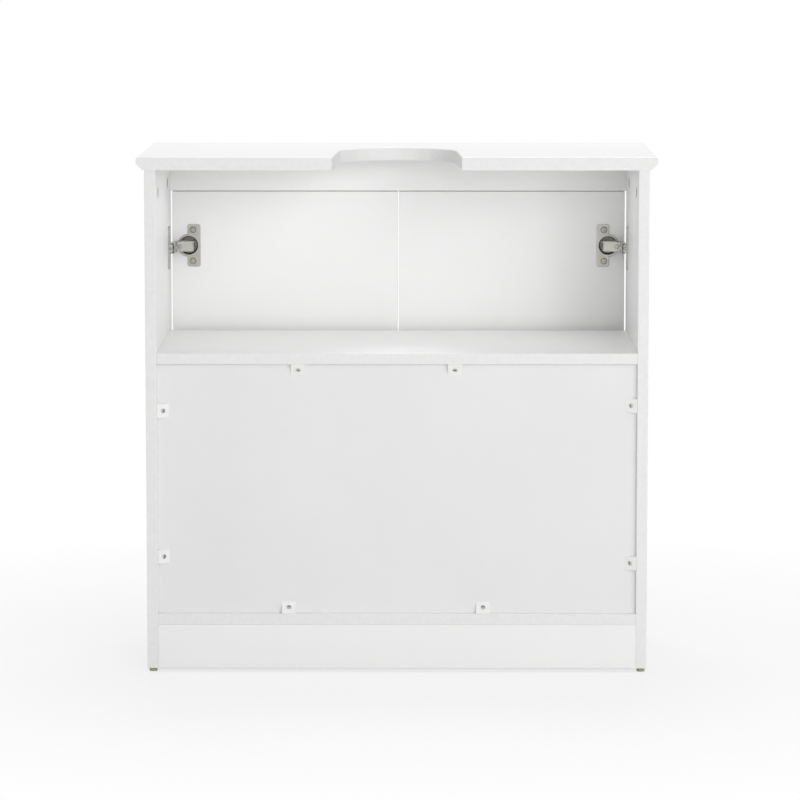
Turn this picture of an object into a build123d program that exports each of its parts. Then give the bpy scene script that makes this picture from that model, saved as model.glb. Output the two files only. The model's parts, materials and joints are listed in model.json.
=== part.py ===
from build123d import *
import math
import os

# Sink base cabinet: a small painted cabinet that stands round a pedestal basin. It has two inset doors on
# concealed hinges, a fixed middle shelf, an open upper back for the pipes and a thin panel that closes the
# lower back. Millimetres. X runs to the right as seen from the doors, Y from the doors to the rear, Z up.
# The origin is on the floor, under the middle of the cabinet with its knobs.

os.makedirs("parts", exist_ok=True)

# ------------------------------------------------------------------ driving sizes
# whole cabinet
WIDTH = 600.0  # top board, left to right
DEPTH = 300.0  # top board, front to rear
HEIGHT = 600.0  # floor to the top board's upper face

# boards
TOP_T = 15.0  # top board
BOARD_T = 12.5  # 12 mm fibreboard under its paint
BACK_T = 3.0  # thin back panel
EDGE_R = 0.8  # softened edge of a painted board
FIT = 0.05  # radial clearance of a pin, screw or dowel in its hole
HEAD_PLAY = 0.2  # a sunk screw head's seat is wider than the head by this

# top board
TOP_SIDE_OVERHANG = 9.5  # past the side panels
TOP_FRONT_OVERHANG = 12.0  # past the doors
TOP_CHAMFER = 7.5  # moulded underside, left, right and front
TOP_ARRIS_R = 2.0  # upper edge, all round and along the notch
TOP_CORNER_R = 3.0  # upright front corners
NOTCH_W = 150.0  # U-notch for the pedestal and the waste pipe, at the rear edge
NOTCH_BEND = ((70.0, 115.0), (65.0, 150.0), (50.0, 173.0), (26.0, 191.0))  # from its middle, from the rear edge
NOTCH_DEPTH = 196.0

# carcass
GLIDE_H = 4.5
GLIDE_D = 9.5
GLIDE_INSET = 9.0  # glide's centre from the front and rear edges
GLIDE_EDGE_R = 1.2
NAIL_D = 2.0
NAIL_HEAD_D = 4.5
NAIL_HEAD_T = 1.0
NAIL_RECESS = 1.6  # head's outer face above the glide's sole
NAIL_GRIP = 6.5  # length in the side panel
RAIL_H = 42.0  # front top rail
PLINTH_H = 51.5  # front and rear plinth rails
SHELF_Z = 361.0  # middle shelf's underside
SHELF_SETBACK = 12.0  # shelf's front edge behind the doors' inner faces

# back panel in its groove
BACK_RECESS = 8.0  # panel's rear face in from the carcass's rear edge
GROOVE_DEPTH = 4.0
GROOVE_PLAY = 0.3

# wedge clips that tighten the back panel
CLIP_L = 16.0
CLIP_ON_PANEL = 13.5
CLIP_ON_BOARD = 7.6
CLIP_CORNER_R = 0.8
CLIP_SCREW_D = 3.0
CLIP_SCREW_HEAD_D = 5.2
CLIP_SCREW_HEAD_T = 1.8
CLIP_SCREW_L = 19.0
CLIP_SCREW_X = 7.6  # head's centre from the board
CLIP_SCREW_ANGLE = 45.0
CLIP_SEAT = 1.6  # least depth of the head's seat below the sloping face
CLIP_SHELF_X = (114.4, -67.0)  # clips under the shelf
CLIP_BOTTOM_X = (125.8, -100.2)  # clips on the bottom board
CLIP_RIGHT_Z = (306.0, 135.4)  # clips on the right side panel
CLIP_LEFT_Z = (312.3, 128.0)  # clips on the left side panel

# cam locks, cam bolts and dowels
CAM_D = 15.0
CAM_T = 9.5
CAM_PLAY = 0.1
CAM_SLOT_W = 1.8
CAM_SLOT_DEPTH = 1.6
CAM_SLOT_L = 9.5
CAM_CLAW_D = 7.4
CAM_CLAW_PAST = 1.5  # claw's end past the cam's middle
CAM_REACH = 29.0  # cam's centre from the joint
BOLT_D = 5.0
BOLT_GRIP = 9.5  # thread in the other board
BOLT_COLLAR_D = 6.8
BOLT_COLLAR_T = 2.0
BOLT_STEM_D = 4.4
BOLT_HEAD_D = 6.4
BOLT_HEAD_T = 2.6
BOLT_BORE_D = 7.2
CAM_REAR = 53.0  # rear cams, from the carcass's rear edge
CAM_FRONT = 224.0  # front cams, from the carcass's rear edge
DOWEL_D = 6.0
DOWEL_IN_FACE = 8.0  # in the board that the joint meets face on
DOWEL_IN_END = 16.0  # in the board that meets it with its end
DOWEL_END_CHAMFER = 0.8
HOLE_PLAY = 0.5  # free space beyond the end of a dowel, screw or nail
DOWEL_FROM_CAM = 24.0  # dowel's centre beside its cam bolt
RAIL_DOWEL_IN = 11.0  # dowel's centre from a rail's long edge

# doors
DOOR_T = 12.5
DOOR_SIDE_GAP = 2.5
DOOR_MID_GAP = 1.8
DOOR_TOP_GAP = 0.8
DOOR_BOTTOM_GAP = 2.0
DOOR_FRAME_W = 52.0  # plain border round the sunk field of the front
FIELD_DEPTH = 3.5
FIELD_SLOPE_W = 3.5

# knobs
KNOB_D = 28.0
KNOB_REACH = 24.0  # from the door's front
KNOB_FOOT_D = 15.0
KNOB_NECK_D = 10.0
KNOB_NECK_FLARE = 1.0  # neck widens by this, all round, where it meets the head
KNOB_FOOT_T = 1.5  # straight part of the foot
KNOB_HEAD_T = 11.0
KNOB_EDGE = 3.0  # rounding of the head's underside
KNOB_EDGE_BOW = 1.0  # its middle, in from the head's widest place
KNOB_RIM = 0.3  # widest place of the head, as a share of its thickness
KNOB_FROM_EDGE = 30.0  # from the doors' meeting edges
KNOB_BORE_DEPTH = 14.0
KNOB_SCREW_D = 4.0
KNOB_SCREW_HEAD_D = 8.5
KNOB_SCREW_HEAD_T = 2.4
KNOB_SCREW_IN_KNOB = 9.0

# concealed hinges. Plan places are (from the side panel's inner face, from the door's inner face) with the
# door shut; the second is positive to the rear and negative inside the door
HINGE_FROM_DOOR_END = 65.9  # hinge's middle from the door's top and bottom
CUP_FROM_EDGE = 20.0  # cup's middle from the door's hinge edge
CUP_D = 26.0
CUP_DEPTH = 10.0
CUP_BOWL_D = 21.8
CUP_FLOOR_T = 0.8
CUP_RIM_D = 28.0
CUP_FLANGE_W = 16.0
CUP_FLANGE_L = 52.0
CUP_FLANGE_T = 0.8
CUP_FLANGE_R = 3.0
CUP_FLANGE_SHIFT = 6.4  # flange's middle past the cup's middle
CUP_SCREWS_APART = 38.0
CUP_SCREW_SHIFT = 5.0  # screws' middle past the cup's middle
SCREW_D = 3.0
SCREW_GRIP = 8.5
SCREW_HEAD_D = 5.6
SCREW_HEAD_T = 1.6
RECESS_ARM = 0.28  # cross recess: width of an arm, as a share of its span
RECESS_DEPTH = 0.35  # and its depth
HEAD_RECESS = 0.6  # recess's span, as a share of the head
SHORT_SCREW_RECESS = 0.7  # the same in a screw without a head
FIXED_PIN_OUTER = (28.0, -4.4)  # outer links' pin in the arm
CUP_PIN_OUTER = (14.1, -7.0)  # outer links' pin in the cup
FIXED_PIN_INNER = (16.75, -6.5)  # inner links' pin in the arm
CUP_PIN_INNER = (30.6, -7.1)  # inner links' pin in the cup, the joint that is left open
PIN_D = 1.8
OPEN_PIN_D = 1.4
OPEN_PIN_PLAY = 0.42  # radial clearance of the open joint
LINK_R = 1.5
OUTER_LINK_HALF = 2.4  # half width, along the pins
INNER_LINK_NEAR = 2.8  # inner link plates, from the hinge's middle
INNER_LINK_FAR = 4.4
STUB_NEAR = 2.65  # short pins start here, from the hinge's middle
ARM_CHEEK_NEAR = 4.9
ARM_HALF = 6.5
CUP_PIN_HALF = 8.3  # pins in the cup's wall end here
ARM_END_R = 1.5
ARM_NECK = ((25.6, 11.9), (25.6, 6.6), (26.9, 2.5))  # middle line of the cheeks, down into the cup
ARM_BACK_Y = 46.0  # arm's rear end
ARM_TOP_X = 8.6  # arm's web, from the side panel
ARM_FOOT_X = 3.4  # cheeks' edge beside the side panel
ARM_CRANK = ((27.2, 14.5), (27.2, 10.4), (12.0, 10.4), (3.4, 22.0))  # outline beyond the straight part
ARM_BEND_Y = 20.0  # straight part ends here
ARM_WALL = 1.6
ARM_THIN_FROM_Y = 24.0  # from here to the rear the cheeks are thinner
ARM_THIN_NEAR = 5.7  # and start here, from the hinge's middle
PLATE_WING_L = 52.0
PLATE_WING_W = 12.0
PLATE_WING_T = 2.0
PLATE_WING_R = 3.0
PLATE_MID_Y = 37.5
PLATE_BLOCK_HALF = 4.7
PLATE_BLOCK_D = 17.0
PLATE_BLOCK_TOP_X = 6.0
PLATE_SCREWS_APART = 32.0
PLATE_SCREW_D = 3.5
PLATE_SCREW_GRIP = 9.0
PLATE_SCREW_HEAD_D = 6.6
PLATE_SCREW_HEAD_T = 1.8
PLATE_SCREW_SUNK = 1.4  # of its head, in the wing
ARM_SCREW_Y = 35.5
ARM_SCREW_D = 3.5
ARM_SCREW_HEAD_D = 5.4
ARM_SCREW_HEAD_T = 1.4
ARM_SCREW_IN_BLOCK = 4.4
SIDE_SCREW_X = 12.8  # adjusting screw in the arm's cranked plate, from the side panel
SIDE_SCREW_D = 6.0
SIDE_SCREW_L = 5.0
SIDE_SCREW_PROUD = 0.6
DEPTH_SCREW_X = 3.7  # adjusting screw in the block's rear end, from the side panel
DEPTH_SCREW_D = 3.6
DEPTH_SCREW_L = 6.0
DEPTH_SCREW_SUNK = 0.3

# ------------------------------------------------------------------ planes and lines that pieces share
KNOB_PAST_TOP = KNOB_REACH - TOP_FRONT_OVERHANG
REAR_Y = (DEPTH + KNOB_PAST_TOP) / 2
TOP_FRONT_Y = REAR_Y - DEPTH
CASE_FRONT_Y = TOP_FRONT_Y + TOP_FRONT_OVERHANG
DOOR_BACK_Y = CASE_FRONT_Y + DOOR_T
CASE_TOP_Z = HEIGHT - TOP_T
OUTER_X = WIDTH / 2 - TOP_SIDE_OVERHANG
INNER_X = OUTER_X - BOARD_T
BOTTOM_Z = GLIDE_H + PLINTH_H
BOTTOM_TOP_Z = BOTTOM_Z + BOARD_T
RAIL_Z = CASE_TOP_Z - RAIL_H
BACK_Y = REAR_Y - BACK_RECESS
DOOR_Z = BOTTOM_TOP_Z + DOOR_BOTTOM_GAP
DOOR_TOP_Z = RAIL_Z - DOOR_TOP_GAP
DOOR_EDGE_X = INNER_X - DOOR_SIDE_GAP
HINGE_ROWS_Z = (DOOR_Z + HINGE_FROM_DOOR_END, DOOR_TOP_Z - HINGE_FROM_DOOR_END)
CUP_X = DOOR_SIDE_GAP + CUP_FROM_EDGE  # from the side panel's inner face
KNOB_X = DOOR_MID_GAP / 2 + KNOB_FROM_EDGE
KNOB_Z = (DOOR_Z + DOOR_TOP_Z) / 2
SIDES = {"right": 1, "left": -1}
PAST = 1.0  # how far a cut runs past a face


def keep(piece, name):
    """Labels a finished piece and writes it."""
    piece.part.label = name
    export_step(piece.part, f"parts/{name}.step")


def slab(low, high, mode=Mode.ADD):
    """A square-edged block between two corners."""
    with BuildSketch(Plane.XY.offset(low[2])) as outline:
        with Locations(((low[0] + high[0]) / 2, (low[1] + high[1]) / 2)):
            Rectangle(high[0] - low[0], high[1] - low[1])
    extrude(outline.sketch, amount=high[2] - low[2], mode=mode)


def bore(start, direction, diameter, depth):
    """A round blind hole from a point on a face, into the piece."""
    with BuildSketch(Plane(origin=start, z_dir=direction)) as ring:
        Circle(diameter / 2)
    extrude(ring.sketch, amount=depth, mode=Mode.SUBTRACT)


def turned(foot, direction, steps, mode=Mode.ADD):
    """A turned piece or a stepped hole: (diameter, length) steps, one after the other."""
    reach = 0.0
    for diameter, length in steps:
        with BuildSketch(Plane(origin=foot, z_dir=direction).offset(reach)) as ring:
            Circle(diameter / 2)
        extrude(ring.sketch, amount=length, mode=mode)
        reach += length


def cross_recess(face_point, inward, width):
    """The screwdriver's cross in a screw's head."""
    with BuildSketch(Plane(origin=face_point, z_dir=inward)) as cross:
        Rectangle(width, width * RECESS_ARM)
        Rectangle(width * RECESS_ARM, width)
    extrude(cross.sketch, amount=width * RECESS_DEPTH, mode=Mode.SUBTRACT)


def arm_like(plane, thickness, start, end, start_r, end_r):
    """A flat link: two round ends and the straight flanks between them."""
    with BuildSketch(plane) as outline:
        with Locations(start):
            Circle(start_r)
        with Locations(end):
            Circle(end_r)
        make_hull()
    extrude(outline.sketch, amount=thickness)


def plan(side, place):
    """A hinge's plan place as X and Y of the cabinet."""
    return side * (INNER_X - place[0]), DOOR_BACK_Y + place[1]


def upright(side, place, low_z):
    """A point of a hinge's plan at a height."""
    x, y = plan(side, place)
    return x, y, low_z


def span(side, near, far):
    """The lower and the higher X of two distances from the middle, on one side."""
    return min(side * near, side * far), max(side * near, side * far)


# ------------------------------------------------------------------ places of the joinery
PANEL_MID_X = (INNER_X + OUTER_X) / 2
CAM_ROWS_Y = (REAR_Y - CAM_REAR, REAR_Y - CAM_FRONT)
DOWEL_ROWS_Y = (REAR_Y - CAM_REAR - DOWEL_FROM_CAM, REAR_Y - CAM_FRONT + DOWEL_FROM_CAM)
CAM_BOARDS_Z = (SHELF_Z, BOTTOM_Z)  # undersides of the boards that cams pull to the side panels
FRONT_RAIL_Y = CASE_FRONT_Y + BOARD_T / 2
REAR_RAIL_Y = REAR_Y - BOARD_T / 2
TOP_RAIL_DOWELS = [(FRONT_RAIL_Y, RAIL_Z + RAIL_DOWEL_IN), (FRONT_RAIL_Y, CASE_TOP_Z - RAIL_DOWEL_IN)]
PLINTH_DOWELS_Z = (GLIDE_H + RAIL_DOWEL_IN, BOTTOM_Z - RAIL_DOWEL_IN)
FRONT_PLINTH_DOWELS = [(FRONT_RAIL_Y, z) for z in PLINTH_DOWELS_Z]
REAR_PLINTH_DOWELS = [(REAR_RAIL_Y, z) for z in PLINTH_DOWELS_Z]
BOARD_DOWELS = [(y, z + BOARD_T / 2) for z in CAM_BOARDS_Z for y in DOWEL_ROWS_Y]
SIDE_DOWELS = TOP_RAIL_DOWELS + FRONT_PLINTH_DOWELS + REAR_PLINTH_DOWELS + BOARD_DOWELS
GLIDES_Y = (CASE_FRONT_Y + GLIDE_INSET, REAR_Y - GLIDE_INSET)
DOWEL_HOLE_D = DOWEL_D + 2 * FIT
THREAD_HOLE_D = BOLT_D + 2 * FIT
DOWEL_END_HOLE = DOWEL_IN_END + HOLE_PLAY
DOWEL_FACE_HOLE = DOWEL_IN_FACE + HOLE_PLAY


def clip_corners():
    """A plane for each clip: origin in the corner of board and back panel, X along the panel away from the
    board, Y to the rear, Z along the corner. The clip reaches half its length to each side."""
    corners = []
    for x in CLIP_SHELF_X:
        corners.append(((x, BACK_Y, SHELF_Z), (0, 0, -1), (1, 0, 0)))
    for x in CLIP_BOTTOM_X:
        corners.append(((x, BACK_Y, BOTTOM_TOP_Z), (0, 0, 1), (-1, 0, 0)))
    for z in CLIP_RIGHT_Z:
        corners.append(((INNER_X, BACK_Y, z), (-1, 0, 0), (0, 0, -1)))
    for z in CLIP_LEFT_Z:
        corners.append(((-INNER_X, BACK_Y, z), (1, 0, 0), (0, 0, 1)))
    return [Plane(origin=origin, x_dir=away, z_dir=along) for origin, away, along in corners]


CLIP_SLOPE = CLIP_ON_BOARD / CLIP_ON_PANEL
CLIP_FACE_Y = CLIP_ON_BOARD - CLIP_SCREW_X * CLIP_SLOPE  # sloping face at the screw's middle
CLIP_HEAD_Y = CLIP_FACE_Y - CLIP_SEAT + CLIP_SCREW_HEAD_T


def clip_screw_line(corner):
    """A clip screw's outer end and its direction, which runs obliquely into the board."""
    turn = math.radians(CLIP_SCREW_ANGLE)
    start = corner.from_local_coords(Vector(CLIP_SCREW_X, CLIP_HEAD_Y, 0))
    ahead = corner.from_local_coords(Vector(CLIP_SCREW_X - math.cos(turn), CLIP_HEAD_Y - math.sin(turn), 0))
    return start, ahead - start


def cut_clip_screw_holes(corners):
    """Clearance for the clip screws in the piece in hand."""
    for corner in corners:
        start, direction = clip_screw_line(corner)
        bore(start, direction, CLIP_SCREW_D + 2 * FIT, CLIP_SCREW_L + PAST)


CLIP_CORNERS = clip_corners()

# ------------------------------------------------------------------ top board
with BuildPart() as top_board:
    slab((-WIDTH / 2, TOP_FRONT_Y, CASE_TOP_Z), (WIDTH / 2, REAR_Y, HEIGHT))
    underside = top_board.faces().sort_by(Axis.Z)[0].edges()
    chamfer(underside.sort_by(Axis.Y)[:-1], TOP_CHAMFER)
    front_corners = top_board.edges().filter_by(Axis.Z).group_by(Axis.Y)[0]
    fillet(front_corners, TOP_CORNER_R)
    with BuildSketch(Plane.XY.offset(CASE_TOP_Z)) as notch:
        with BuildLine():
            right_bend = [(x, REAR_Y - depth) for x, depth in NOTCH_BEND]
            left_bend = [(-x, y) for x, y in right_bend]
            left_side = Line((-NOTCH_W / 2, REAR_Y + PAST), left_bend[0])
            right_side = Line(right_bend[0], (NOTCH_W / 2, REAR_Y + PAST))
            bend = [*left_bend, (0, REAR_Y - NOTCH_DEPTH), *reversed(right_bend)]
            Spline(bend, tangents=(left_side % 1, right_side % 0))
            Line(right_side @ 1, left_side @ 0)
        make_face()
    extrude(notch.sketch, amount=TOP_T, mode=Mode.SUBTRACT)
    fillet(top_board.faces().sort_by(Axis.Z)[-1].edges(), TOP_ARRIS_R)
    for side in SIDES.values():
        for y in CAM_ROWS_Y:
            bore((side * PANEL_MID_X, y, CASE_TOP_Z), (0, 0, 1), THREAD_HOLE_D, BOLT_GRIP + HOLE_PLAY)
        for y in DOWEL_ROWS_Y:
            bore((side * PANEL_MID_X, y, CASE_TOP_Z), (0, 0, 1), DOWEL_HOLE_D, DOWEL_FACE_HOLE)
keep(top_board, "top_board")

# ------------------------------------------------------------------ side panels
for side_name, side in SIDES.items():
    low_x, high_x = span(side, INNER_X, OUTER_X)
    with BuildPart() as side_panel:
        slab((low_x, CASE_FRONT_Y, GLIDE_H), (high_x, REAR_Y, CASE_TOP_Z))
        fillet(side_panel.edges().filter_by(Axis.Z), EDGE_R)
        groove_x = span(side, INNER_X, INNER_X + GROOVE_DEPTH)
        slab(
            (groove_x[0], BACK_Y - BACK_T, BOTTOM_TOP_Z - GROOVE_DEPTH),
            (groove_x[1], BACK_Y + GROOVE_PLAY, SHELF_Z + GROOVE_DEPTH),
            mode=Mode.SUBTRACT,
        )
        for y in CAM_ROWS_Y:
            bore((side * INNER_X, y, CASE_TOP_Z - CAM_REACH), (side, 0, 0), CAM_D, CAM_T)
            bore((side * PANEL_MID_X, y, CASE_TOP_Z), (0, 0, -1), BOLT_BORE_D, CAM_REACH)
            for board_z in CAM_BOARDS_Z:
                bolt_start = (side * INNER_X, y, board_z + BOARD_T / 2)
                bore(bolt_start, (side, 0, 0), THREAD_HOLE_D, BOLT_GRIP + HOLE_PLAY)
        for y in DOWEL_ROWS_Y:
            bore((side * PANEL_MID_X, y, CASE_TOP_Z), (0, 0, -1), DOWEL_HOLE_D, DOWEL_END_HOLE)
        for y, z in SIDE_DOWELS:
            bore((side * INNER_X, y, z), (side, 0, 0), DOWEL_HOLE_D, DOWEL_FACE_HOLE)
        for y in GLIDES_Y:
            bore((side * PANEL_MID_X, y, GLIDE_H), (0, 0, 1), NAIL_D + 2 * FIT, NAIL_GRIP + HOLE_PLAY)
        cut_clip_screw_holes([c for c in CLIP_CORNERS if c.origin.X * side > INNER_X - PAST])
        for z in HINGE_ROWS_Z:
            for screw_z in (z - PLATE_SCREWS_APART / 2, z + PLATE_SCREWS_APART / 2):
                screw_start = (side * INNER_X, DOOR_BACK_Y + PLATE_MID_Y, screw_z)
                bore(screw_start, (side, 0, 0), PLATE_SCREW_D + 2 * FIT, PLATE_SCREW_GRIP + HOLE_PLAY)
    keep(side_panel, f"{side_name}_side_panel")

# ------------------------------------------------------------------ rails
def rail(name, front_y, low_z, high_z, dowels):
    """A board that stands between the side panels, with a dowelled joint at each end."""
    with BuildPart() as rail_board:
        slab((-INNER_X, front_y, low_z), (INNER_X, front_y + BOARD_T, high_z))
        fillet(rail_board.edges().filter_by(Axis.X), EDGE_R)
        for side in SIDES.values():
            for y, z in dowels:
                bore((side * INNER_X, y, z), (-side, 0, 0), DOWEL_HOLE_D, DOWEL_END_HOLE)
    keep(rail_board, name)


rail("front_top_rail", CASE_FRONT_Y, RAIL_Z, CASE_TOP_Z, TOP_RAIL_DOWELS)
rail("front_plinth_rail", CASE_FRONT_Y, GLIDE_H, BOTTOM_Z, FRONT_PLINTH_DOWELS)
rail("rear_plinth_rail", REAR_Y - BOARD_T, GLIDE_H, BOTTOM_Z, REAR_PLINTH_DOWELS)


# ------------------------------------------------------------------ middle shelf and bottom board
def fixed_board(name, front_y, low_z, groove_z, clip_normal_z):
    """A board that cams pull to the side panels, with the groove for the back panel."""
    with BuildPart() as board:
        slab((-INNER_X, front_y, low_z), (INNER_X, REAR_Y, low_z + BOARD_T))
        fillet(board.edges().filter_by(Axis.X), EDGE_R)
        groove_low = min(groove_z, groove_z - clip_normal_z * GROOVE_DEPTH)
        slab(
            (-INNER_X, BACK_Y - BACK_T, groove_low),
            (INNER_X, BACK_Y + GROOVE_PLAY, groove_low + GROOVE_DEPTH),
            mode=Mode.SUBTRACT,
        )
        cut_clip_screw_holes([c for c in CLIP_CORNERS if c.x_dir.Z * clip_normal_z > 0])
        for side in SIDES.values():
            for y in CAM_ROWS_Y:
                bore((side * (INNER_X - CAM_REACH), y, low_z), (0, 0, 1), CAM_D, CAM_T)
                bore((side * INNER_X, y, low_z + BOARD_T / 2), (-side, 0, 0), BOLT_BORE_D, CAM_REACH)
            for y in DOWEL_ROWS_Y:
                dowel_mouth = (side * INNER_X, y, low_z + BOARD_T / 2)
                bore(dowel_mouth, (-side, 0, 0), DOWEL_HOLE_D, DOWEL_END_HOLE)
    keep(board, name)


fixed_board("middle_shelf", DOOR_BACK_Y + SHELF_SETBACK, SHELF_Z, SHELF_Z, -1)
fixed_board("bottom_board", CASE_FRONT_Y, BOTTOM_Z, BOTTOM_TOP_Z, 1)

# ------------------------------------------------------------------ back panel, its clips and their screws
PANEL_IN_GROOVE = GROOVE_DEPTH - GROOVE_PLAY
with BuildPart() as back_panel:
    slab(
        (-INNER_X - PANEL_IN_GROOVE, BACK_Y - BACK_T, BOTTOM_TOP_Z - PANEL_IN_GROOVE),
        (INNER_X + PANEL_IN_GROOVE, BACK_Y, SHELF_Z + PANEL_IN_GROOVE),
    )
    cut_clip_screw_holes(CLIP_CORNERS)
keep(back_panel, "back_panel")

with BuildPart() as back_panel_clips:
    for corner in CLIP_CORNERS:
        with BuildSketch(corner.offset(-CLIP_L / 2)) as wedge:
            with BuildLine():
                Polyline((0, 0), (CLIP_ON_PANEL, 0), (0, CLIP_ON_BOARD), close=True)
            make_face()
        extrude(wedge.sketch, amount=CLIP_L)
    long_edges = [e for e in back_panel_clips.edges() if abs(e.length - CLIP_L) < FIT]
    fillet([e for e in long_edges if e.center().Y > BACK_Y + FIT], CLIP_CORNER_R)
    cut_clip_screw_holes(CLIP_CORNERS)
    for corner in CLIP_CORNERS:
        start, direction = clip_screw_line(corner)
        seat = start - direction * CLIP_ON_BOARD
        bore(seat, direction, CLIP_SCREW_HEAD_D + HEAD_PLAY, CLIP_ON_BOARD + CLIP_SCREW_HEAD_T)
keep(back_panel_clips, "back_panel_clips")

with BuildPart() as back_panel_clip_screws:
    for corner in CLIP_CORNERS:
        start, direction = clip_screw_line(corner)
        shank = (CLIP_SCREW_D, CLIP_SCREW_L - CLIP_SCREW_HEAD_T)
        turned(start, direction, [(CLIP_SCREW_HEAD_D, CLIP_SCREW_HEAD_T), shank])
        cross_recess(start, direction, CLIP_SCREW_HEAD_D * HEAD_RECESS)
keep(back_panel_clip_screws, "back_panel_clip_screws")


# ------------------------------------------------------------------ cam locks, cam bolts and dowels
def cam(face):
    """A cam lock in its pocket: X of the face plane points to the bolt, Z out of the board."""
    with BuildSketch(face.offset(-CAM_PLAY)) as drum:
        Circle(CAM_D / 2 - CAM_PLAY)
    extrude(drum.sketch, amount=-(CAM_T - 2 * CAM_PLAY))
    with BuildSketch(face.offset(-CAM_PLAY)) as slot:
        Rectangle(CAM_SLOT_L, CAM_SLOT_W)
        Rectangle(CAM_SLOT_W, CAM_SLOT_L)
    extrude(slot.sketch, amount=-CAM_SLOT_DEPTH, mode=Mode.SUBTRACT)
    claw_end = face.from_local_coords(Vector(-CAM_CLAW_PAST, 0, -BOARD_T / 2))
    bore(claw_end, face.x_dir, CAM_CLAW_D, CAM_D)


def cam_bolt(joint_point, direction):
    """A bolt whose thread sits in one board and whose head reaches into the cam of the other."""
    foot = Vector(*joint_point) - Vector(*direction) * BOLT_GRIP
    thread = (BOLT_D, BOLT_GRIP)
    collar = (BOLT_COLLAR_D, BOLT_COLLAR_T)
    stem = (BOLT_STEM_D, CAM_REACH - BOLT_COLLAR_T - BOLT_HEAD_T)
    head = (BOLT_HEAD_D, BOLT_HEAD_T)
    turned(foot, direction, [thread, collar, stem, head])


with BuildPart() as top_cam_locks:
    for side in SIDES.values():
        for y in CAM_ROWS_Y:
            middle = (side * INNER_X, y, CASE_TOP_Z - CAM_REACH)
            cam(Plane(origin=middle, x_dir=(0, 0, 1), z_dir=(-side, 0, 0)))
keep(top_cam_locks, "top_cam_locks")

with BuildPart() as top_cam_bolts:
    for side in SIDES.values():
        for y in CAM_ROWS_Y:
            cam_bolt((side * PANEL_MID_X, y, CASE_TOP_Z), (0, 0, -1))
keep(top_cam_bolts, "top_cam_bolts")

for board_name, board_z in zip(("shelf", "bottom_board"), CAM_BOARDS_Z):
    with BuildPart() as board_cam_locks:
        for side in SIDES.values():
            for y in CAM_ROWS_Y:
                middle = (side * (INNER_X - CAM_REACH), y, board_z)
                cam(Plane(origin=middle, x_dir=(side, 0, 0), z_dir=(0, 0, -1)))
    keep(board_cam_locks, f"{board_name}_cam_locks")

    with BuildPart() as board_cam_bolts:
        for side in SIDES.values():
            for y in CAM_ROWS_Y:
                cam_bolt((side * INNER_X, y, board_z + BOARD_T / 2), (-side, 0, 0))
    keep(board_cam_bolts, f"{board_name}_cam_bolts")


def dowels(name, joints):
    """Glued dowels. Each joint is a point on the face that is met and the way into the other board."""
    with BuildPart() as pegs:
        for point, direction in joints:
            foot = Vector(*point) - Vector(*direction) * DOWEL_IN_FACE
            turned(foot, direction, [(DOWEL_D, DOWEL_IN_FACE + DOWEL_IN_END)])
        chamfer(pegs.edges().filter_by(GeomType.CIRCLE), DOWEL_END_CHAMFER)
    keep(pegs, name)


def side_joints(places):
    """Dowel joints on the inner faces of both side panels."""
    return [((side * INNER_X, y, z), (-side, 0, 0)) for side in SIDES.values() for y, z in places]


dowels("board_dowels", side_joints(BOARD_DOWELS))
dowels("rail_dowels", side_joints(TOP_RAIL_DOWELS + FRONT_PLINTH_DOWELS + REAR_PLINTH_DOWELS))
TOP_JOINTS = [(side * PANEL_MID_X, y, CASE_TOP_Z) for side in SIDES.values() for y in DOWEL_ROWS_Y]
dowels("top_dowels", [(point, (0, 0, -1)) for point in TOP_JOINTS])

# ------------------------------------------------------------------ glides and their nails
GLIDE_SOLES = [(side * PANEL_MID_X, y, 0) for side in SIDES.values() for y in GLIDES_Y]
with BuildPart() as glides:
    for sole in GLIDE_SOLES:
        turned(sole, (0, 0, 1), [(GLIDE_D, GLIDE_H)])
    fillet(glides.faces().group_by(Axis.Z)[0].edges(), GLIDE_EDGE_R)
    for sole in GLIDE_SOLES:
        head_hole = (NAIL_HEAD_D + HEAD_PLAY, NAIL_RECESS + NAIL_HEAD_T)
        turned(sole, (0, 0, 1), [head_hole, (NAIL_D + 2 * FIT, GLIDE_H)], mode=Mode.SUBTRACT)
keep(glides, "glides")

with BuildPart() as glide_nails:
    for x, y, z in GLIDE_SOLES:
        shank_l = GLIDE_H - NAIL_RECESS - NAIL_HEAD_T + NAIL_GRIP
        turned((x, y, z + NAIL_RECESS), (0, 0, 1), [(NAIL_HEAD_D, NAIL_HEAD_T), (NAIL_D, shank_l)])
keep(glide_nails, "glide_nails")

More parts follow.
